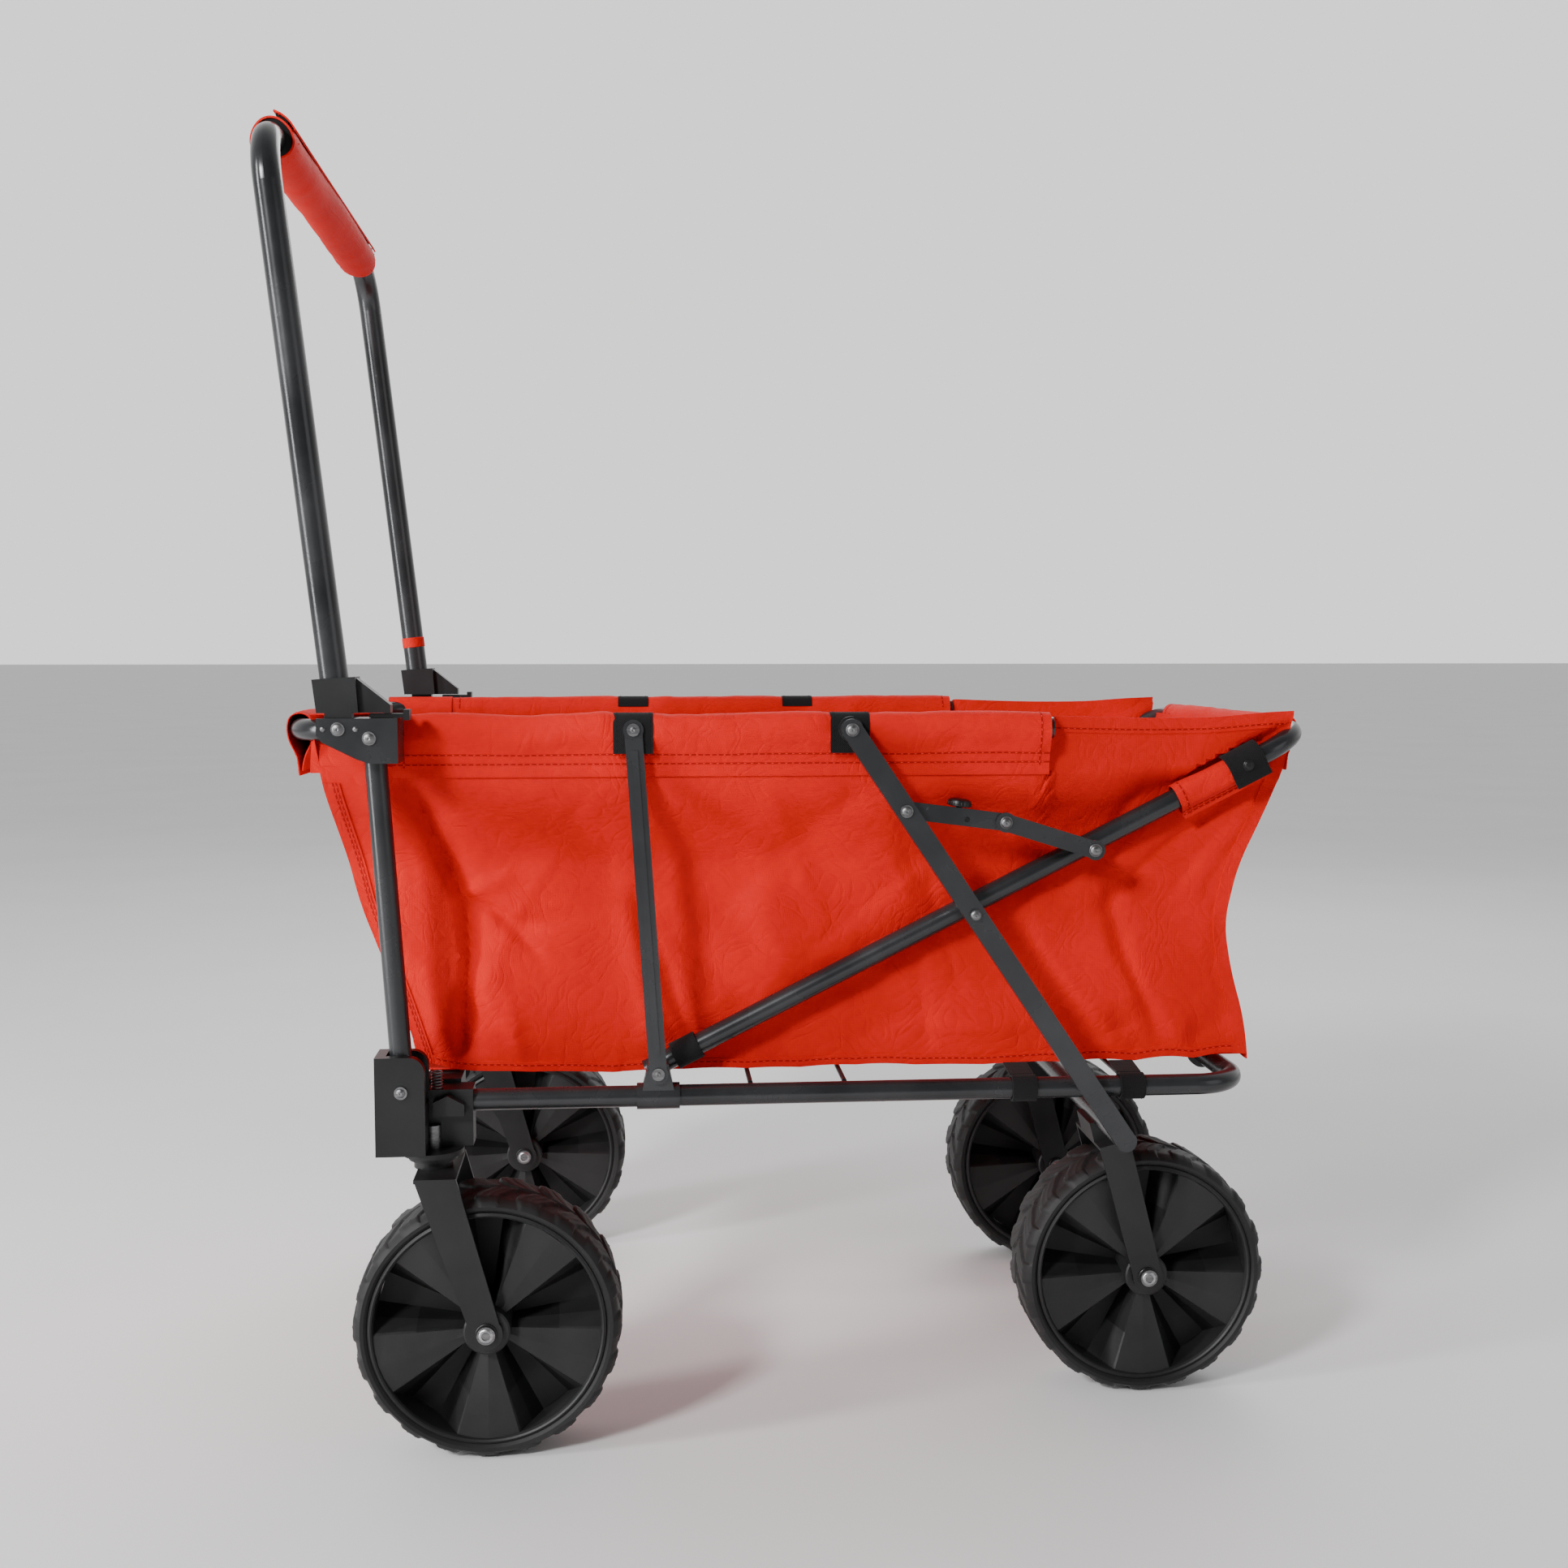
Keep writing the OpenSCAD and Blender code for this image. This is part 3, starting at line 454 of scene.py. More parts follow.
def pleat(u, v, line, left, right, depth):
    """A soft valley down a line of (u, v) points, steeper on one side than the other."""
    us, vs = np.asarray(line[::-1], float).T
    at = np.interp(v, vs, us)
    low, high = vs.min(), vs.max()
    fade = smooth((v - low + 18) / 26) * smooth((high + 18 - v) / 26)
    off = u - at
    width = np.where(off < 0, left, right)
    return depth * fade * np.exp(-np.abs(off / width) ** 1.6)


def fold(u, v, cu, cv, angle, length, width, depth):
    """One soft fold at a given place."""
    a = math.radians(angle)
    along = (u - cu) * math.cos(a) + (v - cv) * math.sin(a)
    across = -(u - cu) * math.sin(a) + (v - cv) * math.cos(a)
    return depth * np.exp(-(across / width) ** 2) * np.exp(-(along / length) ** 4)


def smooth(t):
    t = np.clip(t, 0, 1)
    return t * t * (3 - 2 * t)


# ---- looks of the CAD nodes that are shown as they are
BEVELLED = ("corner_block", "bracket", "front_fork", "rear_fork", "handle_socket", "release_lever",
            "rail_latch", "strut_left", "strut_right", "stay_front", "stay_rear", "leg_left",
            "leg_right")
SLOT_OF = {s["node"]: s["material_slot"] for s in RECORD["subparts"]}
for node_name, node in frame["nodes"].items():
    mesh = node.data
    mesh.materials.clear()
    mesh.materials.append(SLOT_MATERIAL[SLOT_OF[node_name]])
    mesh.polygons.foreach_set("use_smooth", [True] * len(mesh.polygons))
    mesh.polygons.foreach_set("material_index", [0] * len(mesh.polygons))
    mesh.set_sharp_from_angle(angle=math.radians(32))
    if node_name.startswith(BEVELLED):
        bevel = node.modifiers.new("edge", "BEVEL")
        bevel.width = 0.9 * MM
        bevel.segments = 2
        bevel.limit_method = "ANGLE"
        bevel.angle_limit = math.radians(40)
        bevel.harden_normals = False

# ---- wheels
SPOKES = 5
SPOKE_ROOF = ((-28, 0.0), (-22, 0.45), (-16.6, 0.97), (-15.6, 1.03), (-7.5, 1.06), (-0.5, 1.10),
              (0.5, 1.10), (7.5, 1.06), (15.6, 1.03), (16.6, 0.97), (22, 0.45), (28, 0.0))
HUB_R, RIM_STEPS = 18.0, 120
LUG, PITCHES, TYRE_STEPS = 1.9, 20, 480      # height of the tread, lugs and steps round the tyre


def rim_faces(parts, side, rim_r, half, hub_r, hub_half):
    """One dished face of the wheel: five low roofed wedges over a deep web."""
    angles, level = [], []
    for i in range(SPOKES):
        centre = -90 + i * 360 / SPOKES
        for a, h in SPOKE_ROOF:
            angles.append(math.radians(centre + a))
            level.append(h)
    radii = [hub_r - 2, hub_r + 6, 0.5 * (hub_r + rim_r), rim_r - 12, rim_r - 5.0, rim_r - 4.2]
    web, top_in, top_out = 3.0, half - 7.5, half - 5.5
    verts = []
    for r in radii:
        share = (r - hub_r) / (rim_r - hub_r)
        for a, h in zip(angles, level):
            depth = web + h * (top_in + (top_out - top_in) * share - web)
            verts.append((r * math.cos(a), side * depth, r * math.sin(a)))
    n = len(angles)
    plain_faces, deep = [], []
    for i in range(len(radii) - 1):
        for k in range(n):
            a, b = i * n + k, i * n + (k + 1) % n
            quad = [a, b, b + n, a + n]
            # Faces deep in the recess take the darker copy of the plastic: painted shade.
            low = min(level[k], level[(k + 1) % n]) < 0.3
            (deep if low else plain_faces).append(quad if side > 0 else quad[::-1])
    parts.add(verts, plain_faces + deep, [0] * len(plain_faces) + [1] * len(deep))
    axis = (0, side, 0)
    parts.add(*lathe([(web - 2, hub_r), (hub_half - 1.2, hub_r), (hub_half, hub_r - 1.4),
                      (hub_half, hub_r * 0.55), (hub_half - 1.5, hub_r * 0.5)],
                     (0, 0, 0), axis, 48))


def rim_ring(parts, rim_r, half):
    """The barrel with its rolled lips, as one closed ring."""
    inner = rim_r - 4.4
    profile = [(-half, inner + 1), (-half - 1, inner + 2.2), (-half, rim_r - 0.2),
               (half, rim_r - 0.2), (half + 1, inner + 2.2), (half, inner + 1), (half - 2, inner),
               (-half + 2, inner)]
    verts = []
    for y, r in profile:
        verts += circle(np.array([0, y, 0.0]), r, X_AXIS, Z_AXIS, RIM_STEPS)
    parts.add(verts, loop_faces(len(profile), RIM_STEPS))


def tyre_mesh(wheel_r, rim_r, half):
    """A wide tyre with two rows of hooked lugs."""
    base = wheel_r - LUG
    ys = np.concatenate([[-half + 3, -half + 0.6, -half], np.linspace(-half + 2, half - 2, 40),
                         [half, half - 0.6, half - 3]])
    inner = [rim_r + 0.2, rim_r + 2.5, base - 5]
    verts = []
    for k in range(TYRE_STEPS):
        a = 2 * math.pi * k / TYRE_STEPS
        s = a / (2 * math.pi) * PITCHES
        for j, y in enumerate(ys):
            edge = abs(y) / half
            if j < 3:
                r = inner[j]
            elif j >= len(ys) - 3:
                r = inner[len(ys) - 1 - j]
            else:
                crown = base - 4.2 * max(0.0, (edge - 0.72) / 0.28) ** 1.6 - 0.6 * edge
                t = min(1.0, max(0.0, (edge - 0.02) / 0.95))
                centre = 0.95 * t - 0.55 * t ** 3 + (0.5 if y > 0 else 0.0)
                off = (s - centre) % 1.0 - 0.5
                width = 0.37 - 0.10 * abs(2 * t - 0.9)
                hook = math.exp(-((t - 0.06) / 0.12) ** 2) * 0.07
                rise = min(1.0, max(0.0, (width + hook - abs(off)) / 0.045))
                groove = 1.0 if t > 0.03 else 0.35
                r = crown + LUG * rise * groove * (1 - 0.35 * max(0.0, edge - 0.8) / 0.2)
                vein = sum(math.exp(-((off - at) / 0.022) ** 2) for at in (-0.06, 0.16))
                r += 0.45 * vein * rise * smooth(t * 5) * (1 - smooth((edge - 0.8) * 5))
            verts.append((r * math.cos(a), y, r * math.sin(a)))
    return verts, loop_faces(TYRE_STEPS, len(ys))


def bolt_head(parts, at, side):
    """A domed cap screw with a hexagon socket, over a black washer."""
    axis = (0, side, 0)
    parts.add(*lathe([(-0.2, 8.4), (0.9, 8.4), (1.3, 7.9), (1.3, 6.0)], at, axis, 36), slot=1)
    parts.add(*lathe([(0.9, 6.3), (2.7, 6.3), (3.9, 5.7), (4.7, 4.5), (4.8, 3.5), (2.6, 3.2),
                      (2.6, 0.1)], at, axis, 36), slot=0)
    # The dark hexagon at the bottom of the socket is painted shade for the hole.
    parts.add(*lathe([(2.5, 3.1), (2.75, 3.0), (2.75, 0.1)], at, axis, 6), slot=2)


tyre_half, rim_half = (middle_and_half(f"front_{what}_left")[1] for what in ("tyre", "rim"))
tread, tread_faces = tyre_mesh(tyre_half[2], rim_half[2], tyre_half[1])
for end, word in (("front", "left"), ("front", "right"), ("rear", "left"), ("rear", "right")):
    place, body = f"{end}_{word}", f"{end}_wheel_{word}"
    centre, tyre_half = middle_and_half(f"{end}_tyre_{word}")
    rim_half = middle_and_half(f"{end}_rim_{word}")[1]
    tyre = make(f"tread_{place}", np.array(tread) + centre, tread_faces, [RUBBER], body,
                sharp=30)
    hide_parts(f"{end}_tyre_{word}")
    parts = Parts()
    for side in (-1, 1):
        rim_faces(parts, side, rim_half[2], tyre_half[1], HUB_R, rim_half[1])
    rim_ring(parts, rim_half[2], tyre_half[1] - 2.5)
    parts.verts = [tuple(np.array(v) + centre) for v in parts.verts]
    rim = parts.make(f"wheel_{place}", [WHEEL_PLASTIC, WHEEL_RECESS_SHADE], body, "wheel_plastic", 8)
    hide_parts(f"{end}_rim_{word}")
    fork_low, fork_high = box_mm(f"{end}_fork_{word}")
    bolts = Parts()
    for y, side in ((fork_high[1], 1), (fork_low[1], -1)):
        bolt_head(bolts, (centre[0], y, centre[2]), side)
    bolts.make(f"wheel_bolts_{place}", [ZINC, PLASTIC, SOCKET_SHADE],
               f"caster_{word}" if end == "front" else "legs", "steel", 30)


# ---- rivets
def rivet(parts, at, y, side, radius=5.3, tall=2.3):
    """A domed rivet on a thin washer, with the small dimple that the setting tool leaves."""
    where = (at[0], side * y, at[1])
    axis = (0, side, 0)
    arc = [(tall * math.sin(t), radius * 0.86 * math.cos(t)) for t in np.linspace(0, 1.30, 7)]
    parts.add(*lathe([(-0.3, radius), (0.5, radius), (0.75, radius * 0.92)] +
                     [(0.7 + d, r) for d, r in arc] + [(0.45 + tall * 0.9, 0.1)], where, axis, 28))


LEG_OUT = box_mm("leg_right")[1][1] - 1.5
STRUT_OUT = box_mm("strut_right")[1][1] - 1.0
BRACKET_OUT = box_mm("bracket_right")[1][1]
BLOCK_OUT = box_mm("corner_block_right")[1][1]
STAY_OUT = box_mm("stay_rear_right")[1][1] - 1.0
CROSSING, STAY_B, SNAP_AT, STRAP_AT = (STRUT_FOOT + HOOP_DIR * d for d in (280, 390, 537, 26))
RIVETS = {
    "root": [(POST_FOOT, BLOCK_OUT, 4.4), (STRUT_FOOT, STRUT_OUT - 1, 4.8)],
    "top_frame": [(POST_TOP, BRACKET_OUT, 5.2), (HANDLE, BRACKET_OUT, 5.2),
                  (STRUT_TOP, STRUT_OUT - 1, 4.8), (LEG_TOP, LEG_OUT + 0.3, 5.2),
                  (HANDLE + [-11, 0], BRACKET_OUT - 0.4, 2.2),
                  (HANDLE + [13, 0], BRACKET_OUT - 0.4, 2.2)],
    "legs": [(CROSSING, LEG_OUT + 0.3, 5.0), (STAY_A, LEG_OUT + 0.3, 4.7)],
    "stay_front": [(KNEE, STAY_OUT + 0.4, 4.9)],
    "stay_rear": [(STAY_B, STAY_OUT + 0.4, 5.2)],
}
for body, heads in RIVETS.items():
    parts = Parts()
    for at, y, radius in heads:
        for side in (-1, 1):
            rivet(parts, at, y, side, radius, 2.2 if radius > 3 else 0.9)
    parts.make(f"rivet_heads_{body}", [STEEL], body, "steel", 30)

# ---- lock buttons on the stays
SIDES = ((-1, "left"), (1, "right"))
STAY_LEN = np.linalg.norm(KNEE - STAY_A)
slope = (KNEE - STAY_A) / STAY_LEN
up, along = np.array([-slope[1], 0, slope[0]]), np.array([slope[0], 0, slope[1]])
for side, word in SIDES:
    low, high = box_mm(f"stay_button_{word}")
    top = np.array([(low[0] + high[0]) / 2, (low[1] + high[1]) / 2, high[2]])
    radius = (high[1] - low[1]) / 2
    base = top - up * 8.2
    parts = Parts()
    parts.add(*lathe([(-8.0, 2.6), (1.2, 2.6), (1.3, radius * 0.8), (1.8, radius), (4.9, radius),
                      (6.3, radius * 0.93), (7.2, radius * 0.78), (7.7, radius * 0.5), (7.8, 0.2)],
                     base, up, 40))
    for k in range(20):
        a = 2 * math.pi * k / 20
        out = along * math.cos(a) + np.array([0, 1.0, 0]) * math.sin(a)
        spots = [base + out * (radius - 0.15) + up * h for h in (2.1, 3.4, 4.7)]
        parts.add(*tube_mesh(spots, [0.3, 0.55, 0.3], 6))
    button = parts.make(f"stay_knob_{word}", [PLASTIC], f"stay_button_{word}", "black_plastic", 30)
    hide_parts(f"stay_button_{word}")
    # The small hole in the link below the button is drawn as a dark pin: painted shade for the
    # hole.
    parts = Parts()
    spot = STAY_A + slope * (STAY_LEN * 0.62) - np.array([up[0], up[2]]) * 1.5
    outer = box_mm(f"stay_front_{word}")[1 if side > 0 else 0][1]
    parts.add(*lathe([(-0.2, 2.2), (0.35, 2.2), (0.55, 1.8), (0.2, 1.5), (0.2, 0.1)],
                     (spot[0], outer, spot[1]), (0, side, 0), 20))
    parts.make(f"stay_hole_shade_{word}", [SOCKET_SHADE], "stay_front", "dark_steel", 30)

# ---- basket
CLOTH = 0.9
WALL_TOP = TOP_Z - 28
WALL_X0, WALL_LEN = -380, 790                # where the side wall's flat piece starts, its length
WALL_SPAN, END_SPAN = ((0, WALL_LEN), (0, 280)), ((0, 390), (0, 280))
FRONT_EDGE = [(FLOOR_Z - 3, -306), (312, -311), (360, -327), (426, -352), (480, -365),
              (525, -375), (575, -384)]
REAR_EDGE = [(FLOOR_Z - 3, 377), (320, 372), (360, 360), (402, 353), (450, 364), (500, 388),
             (532, 401), (580, 408)]
# Soft folds: flat place u, v, angle, length, width, depth.
SIDE_FOLDS = [
    (118, 128, -28, 34, 5, -3.4), (128, 112, -52, 28, 5, -2.8), (112, 150, 20, 30, 6, 2.4),
    (150, 120, 8, 46, 8, -2.2), (190, 150, -12, 40, 7, 1.8), (92, 40, 96, 40, 8, 4.0),
    (226, 66, 84, 110, 12, 4.0), (252, 60, 96, 72, 9, -4.0), (300, 24, 34, 60, 10, 3.0),
    (640, 60, 112, 100, 13, 4.5), (688, 95, 103, 90, 9, -5.0), (722, 66, 97, 86, 9, 5.5),
    (748, 140, 64, 70, 8, 4.5), (716, 176, 48, 66, 7, -4.6), (690, 190, 58, 60, 8, 3.6),
    (664, 196, 74, 40, 8, -3.0), (430, 90, 152, 120, 16, 2.6), (560, 130, 24, 100, 13, 2.6),
    (520, 236, -14, 90, 10, -2.6), (610, 222, -8, 60, 8, 2.4), (360, 140, 96, 80, 20, 2.8)]
END_FOLDS = [
    (40, 40, 60, 60, 12, 6.0), (350, 44, 118, 60, 12, 6.0), (62, 90, 70, 80, 12, -4.5),
    (330, 95, 112, 80, 12, -4.5), (120, 30, 84, 44, 12, 4.5), (180, 26, 92, 40, 12, -3.5),
    (240, 28, 80, 42, 12, 4.0), (290, 24, 98, 40, 11, -3.5), (200, 150, 8, 120, 22, 3.5),
    (90, 170, 140, 70, 14, 3.0), (300, 160, 40, 80, 14, 3.0)]
# The soft corner fold behind the post, and the ridge in front of it, as lines of (x, z).
CORNER_VALLEY = [(-312, 540), (-303, 505), (-288, 466), (-270, 425), (-268, 385), (-272, 335),
                 (-276, 300)]
CORNER_RIDGE = [(-330, 530), (-320, 480), (-300, 430), (-288, 380), (-290, 320)]


def edge_x(edge, z):
    zs, xs = zip(*edge)
    z = np.asarray(z, float)
    out = np.interp(z, zs, xs)
    for shift in (-14, 14, -7, 7):
        out = out + np.interp(z + shift, zs, xs)
    return out / 5


def hoop_line(x):
    """Height of the middle of the hoop's tube."""
    return STRUT_FOOT[1] + (x - STRUT_FOOT[0]) * HOOP_DIR[1] / HOOP_DIR[0]


def wall_y(x, z):
    """Distance of the side wall from the middle: inside the hoop, and out to the rail above."""
    start = np.clip(hoop_line(x) + 12, 452, 515)
    out = np.where(x > TAIL_X, np.interp(x, [TAIL_X, 330, 400], [221, 208, 199]), RAIL_Y - 0.2)
    low = 190.5 + 3.0 * smooth((z - FLOOR_Z) / 60)
    rise = smooth((z - start) / np.maximum(WALL_TOP - 4 - start, 12))
    return low + (out - low) * rise


def top_line(x):
    """Top edge of the side wall: under the sleeve, then the free rear hem."""
    free = TOP_Z + 9.5 - 2.5 * np.sin((x - TAIL_X) / 200 * math.pi) + 2.0 * smooth((x - 330) / 60)
    return np.where(x < TAIL_X - 16, WALL_TOP, np.where(x > TAIL_X + 2, free,
                    WALL_TOP + (free - WALL_TOP) * smooth((x - TAIL_X + 16) / 18)))


def bottom_line(x):
    wave = np.sin(x / 31.0) * np.sin(x / 83.0 + 0.6)
    scallop = np.abs(np.sin(x / 17.0 + 0.7 * np.sin(x / 61.0)))
    drawn_up = 10.0 * np.exp(-((x + 312) / 34) ** 2) + 3.0 * smooth((x - 330) / 50)
    return (FLOOR_Z - 2.6 + 1.2 * wave + 1.6 * scallop * smooth((x - 190) / 60)
            + 0.8 * scallop + drawn_up)


def side_points(side, nu, nv, u0=0.0, u1=1.0, v0=0.0, v1=1.0):
    """The side wall's points, and its flat places for the creases."""
    u, v = grid(np.linspace(u0, u1, nu), np.linspace(v0, v1, nv))
    x = WALL_X0 + WALL_LEN * u
    for _ in range(3):
        z = bottom_line(x) + (top_line(x) - bottom_line(x)) * v
        front, rear = edge_x(FRONT_EDGE, z), edge_x(REAR_EDGE, z)
        x = front + (rear - front) * u
    z = bottom_line(x) + (top_line(x) - bottom_line(x)) * v
    flat_u, flat_v = WALL_LEN * u, z - FLOOR_Z
    seed = 11 if side < 0 else 23
    d = creases(flat_u, flat_v, seed, 30, 95, 4.0, 8.5, 2.1, WALL_SPAN)
    d += creases(flat_u, flat_v, seed + 1, 20, 150, 14.0, 30.0, 4.2, WALL_SPAN)
    d += creases(flat_u, flat_v, seed + 2, 90, 26, 2.4, 4.2, 0.85, WALL_SPAN)
    d += pleat(x, z, CORNER_VALLEY, 4.5, 15.0, -11.0)
    d += pleat(x, z, CORNER_RIDGE, 13.0, 8.0, 5.0)
    for cu, *rest in SIDE_FOLDS:
        d += fold(flat_u, flat_v, cu + (0 if side < 0 else 12), *rest)
    calm = smooth(v / 0.10) * smooth((1 - v) / 0.16) * smooth(u / 0.035) * smooth((1 - u) / 0.03)
    hoop_z = hoop_line(x)
    near_hoop = np.exp(-((z - hoop_z) / 22) ** 2) * (x > STRUT_FOOT[0] - 30)
    d = d * calm
    d = np.where(d > 0, d * (1 - 0.85 * near_hoop), d) - 1.4 * near_hoop
    most = 5.0 + 16 * smooth((450 - z) / 400) * (near_hoop < 0.05)
    y = wall_y(x, z) + np.clip(d, -14, most)
    y = np.minimum(y, np.where(z < hoop_z + 16, 195.4, 226))
    return np.stack([x, side * y, z], axis=2)


def band_on(parts, side, grid, span, lift, thick):
    """Lays a band on the outside of part of the side wall, and gives its points and normals."""
    points = side_points(side, *grid, *span)
    n = normals_of(points)
    if np.sign(n[..., 1].mean()) != side:
        n = -n
    band = points + n * lift
    parts.sheet(band, thick)
    return band, n


SPLIT_Z = 430          # the front wall and corners are split into two pieces at this height
SPLIT_U = 0.142        # the soft corner fold, where the corner pieces meet the side walls
SPLIT_V = (SPLIT_Z - FLOOR_Z) / (WALL_TOP - FLOOR_Z)
SEAM_U, HEM_V = 0.017, 0.03
REAR_U = (TAIL_X + 4 - WALL_X0) / WALL_LEN      # the free hem behind the rail starts here


def drape(obj):
    """Bakes the cloth piece's placement into its points."""
    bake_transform(obj)


def fold_low(obj):
    drape(obj)


def fold_high(obj):
    drape(obj)


def hem(parts, side, nu, u0, u1):
    band, n = band_on(parts, side, (nu, 4), (u0, u1, 0.0, HEM_V), 0.8, 0.8)
    stitches(parts, band[:, 2], n[:, 2], 1, lift=0.6, groove=2)


def cloth_piece(name, points, body=None):
    parts = Parts()
    parts.sheet(points, CLOTH)
    return parts.make(name, [RED], body, "red_fabric", 50)


for side, word in SIDES:
    parts = Parts()
    parts.sheet(side_points(side, 180, 76, SPLIT_U, 1.0), CLOTH)
    band_on(parts, side, (6, 70), (0.984, 1.0, 0.0, 0.995), 0.9, 0.9)
    band, n = band_on(parts, side, (46, 5), (REAR_U, 1.0, 0.955, 1.0), 0.9, 1.0)
    stitches(parts, band[:, 1], n[:, 1], 1, lift=0.75, groove=2)
    hem(parts, side, 166, SPLIT_U, 1.0)
    wall_obj = parts.make(f"side_wall_{word}", [RED, THREAD, SEAM_SHADE], "root", "red_fabric", 50)
    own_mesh(wall_obj)
    if side < 0:
        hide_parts("basket")
    for level, v0, v1, fold_it in (("low", 0.0, SPLIT_V, fold_low),
                                   ("high", SPLIT_V, 1.0, fold_high)):
        parts = Parts()
        parts.sheet(side_points(side, 28, 44, 0.0, SPLIT_U, v0, v1), CLOTH)
        band, n = band_on(parts, side, (6, 40), (0.0, SEAM_U, v0, min(v1, 0.95)), 0.9, 0.9)
        for row in (4, 3):
            stitches(parts, band[row], n[row], 1, lift=0.7, groove=2)
        if level == "low":
            hem(parts, side, 26, 0.0, SPLIT_U)
        corner = parts.make(f"corner_{level}_{word}", [RED, THREAD, SEAM_SHADE], None, "red_fabric", 50)
        fold_it(corner)


def end_points(rear, nu, nv, z0, z1):
    """The front or rear wall between two heights."""
    edge = REAR_EDGE if rear else FRONT_EDGE
    s, z = grid(np.linspace(-1, 1, nu), np.linspace(z0, z1, nv))
    x = edge_x(edge, z)
    half = wall_y(x, np.minimum(z, WALL_TOP - 2)) + 0.4
    half = half - np.interp(z, [FLOOR_Z, 480, 600], [0.0, 0.0, 5.0])
    flat_u, flat_v = 195 * s + 195, z - FLOOR_Z
    d = creases(flat_u, flat_v, 41 if rear else 37, 34, 70, 4.0, 10.0, 2.0, END_SPAN)
    d += creases(flat_u, flat_v, 5 if rear else 7, 14, 110, 14.0, 26.0, 3.0, END_SPAN)
    d += creases(flat_u, flat_v, 9 if rear else 8, 40, 24, 2.6, 5.0, 0.7, END_SPAN)
    for placed in END_FOLDS:
        d += fold(flat_u, flat_v, *placed)
    calm = smooth((1 - np.abs(s)) / 0.10) * smooth((560 - z) / 30) * smooth((z - FLOOR_Z + 4) / 16)
    belly = 7.0 * (1 - s ** 2) * np.sin(np.clip((z - FLOOR_Z) / (TOP_Z - FLOOR_Z), 0, 1) * math.pi)
    out = (d + belly) * calm
    x = x + (out if rear else -out)
    drop = 0 if rear else 2.0
    wave = np.sin(s * 11.0) * np.sin(s * 3.1 + 0.5)
    z = z + np.exp(-((z - FLOOR_Z) / 14) ** 2) * (2.4 * wave - drop)
    return np.stack([x, s * half, z], axis=2)


front_low = end_points(False, 100, 40, FLOOR_Z - 2, SPLIT_Z)
front_high = end_points(False, 100, 36, SPLIT_Z, TOP_Z - 4)
rear_all = end_points(True, 100, 70, FLOOR_Z - 2, HOOP_END[1] + 2)
low_wall = cloth_piece("front_wall_low", front_low)
fold_low(low_wall)
high_wall = cloth_piece("front_wall_high", front_high)
fold_high(high_wall)
rear_wall = cloth_piece("rear_wall", rear_all[::-1])
drape(rear_wall)

# Floor of the basket, sagging a little between the wires.
FLOOR_X, FLOOR_SPAN = (-304, 375), ((-304, 375), (-190, 190))
xs, ys = grid(np.linspace(*FLOOR_X, 120), np.linspace(-189.5, 189.5, 66))
sag = 0.9 * np.cos(ys / 78 * 2 * math.pi) + creases(xs, ys, 3, 90, 70, 4, 11, 0.8, FLOOR_SPAN)
edge = smooth((190 - np.abs(ys)) / 14) * smooth((xs + 305) / 14) * smooth((376 - xs) / 14)
floor_points = np.stack([xs, ys, FLOOR_Z + 1.2 + np.clip(sag, -1.3, 3) * edge], axis=2)
parts = Parts()
parts.sheet(floor_points, CLOTH)
for y in (-78, 78):
    line = [(x, y, FLOOR_Z + 2.2) for x in np.linspace(-290, 360, 60)]
    stitches(parts, line, [(0, 0, 1)] * 60, 1)
floor_cloth = parts.make("basket_floor", [RED, THREAD], "root", "red_fabric", 50)


# ---- sleeves over the tubes
SLEEVE = [(1.3, -37), (1.9, -34), (2.0, -30), (2.8, -23), (5.6, -15), (9.6, -6.5), (10.6, 3),
          (8.4, 10.2), (1.5, 13.2), (-5.2, 11.6), (-9.4, 5), (-10.2, -3), (-7.6, -12),
          (-3.6, -20), (-1.3, -28), (-1.1, -33)]
TIGHT = 8.9                   # how far out the sleeve stands where a bar pinches it
PINCH = (8.6, 11.8)           # and the ellipse that it is drawn in to there


def sleeve_section(count=44):
    """The sleeve's cross section as (outward, up) points, evenly spaced."""
    p = np.array(SLEEVE, float)
    for _ in range(2):
        q = [p[0]]
        for a, b in zip(p, p[1:]):
            q += [0.75 * a + 0.25 * b, 0.25 * a + 0.75 * b]
        p = np.array(q + [p[-1]])
    along = np.concatenate([[0], np.cumsum(np.linalg.norm(np.diff(p, axis=0), axis=1))])
    t = np.linspace(0, along[-1], count)
    return np.stack([np.interp(t, along, p[:, 0]), np.interp(t, along, p[:, 1])], axis=1)


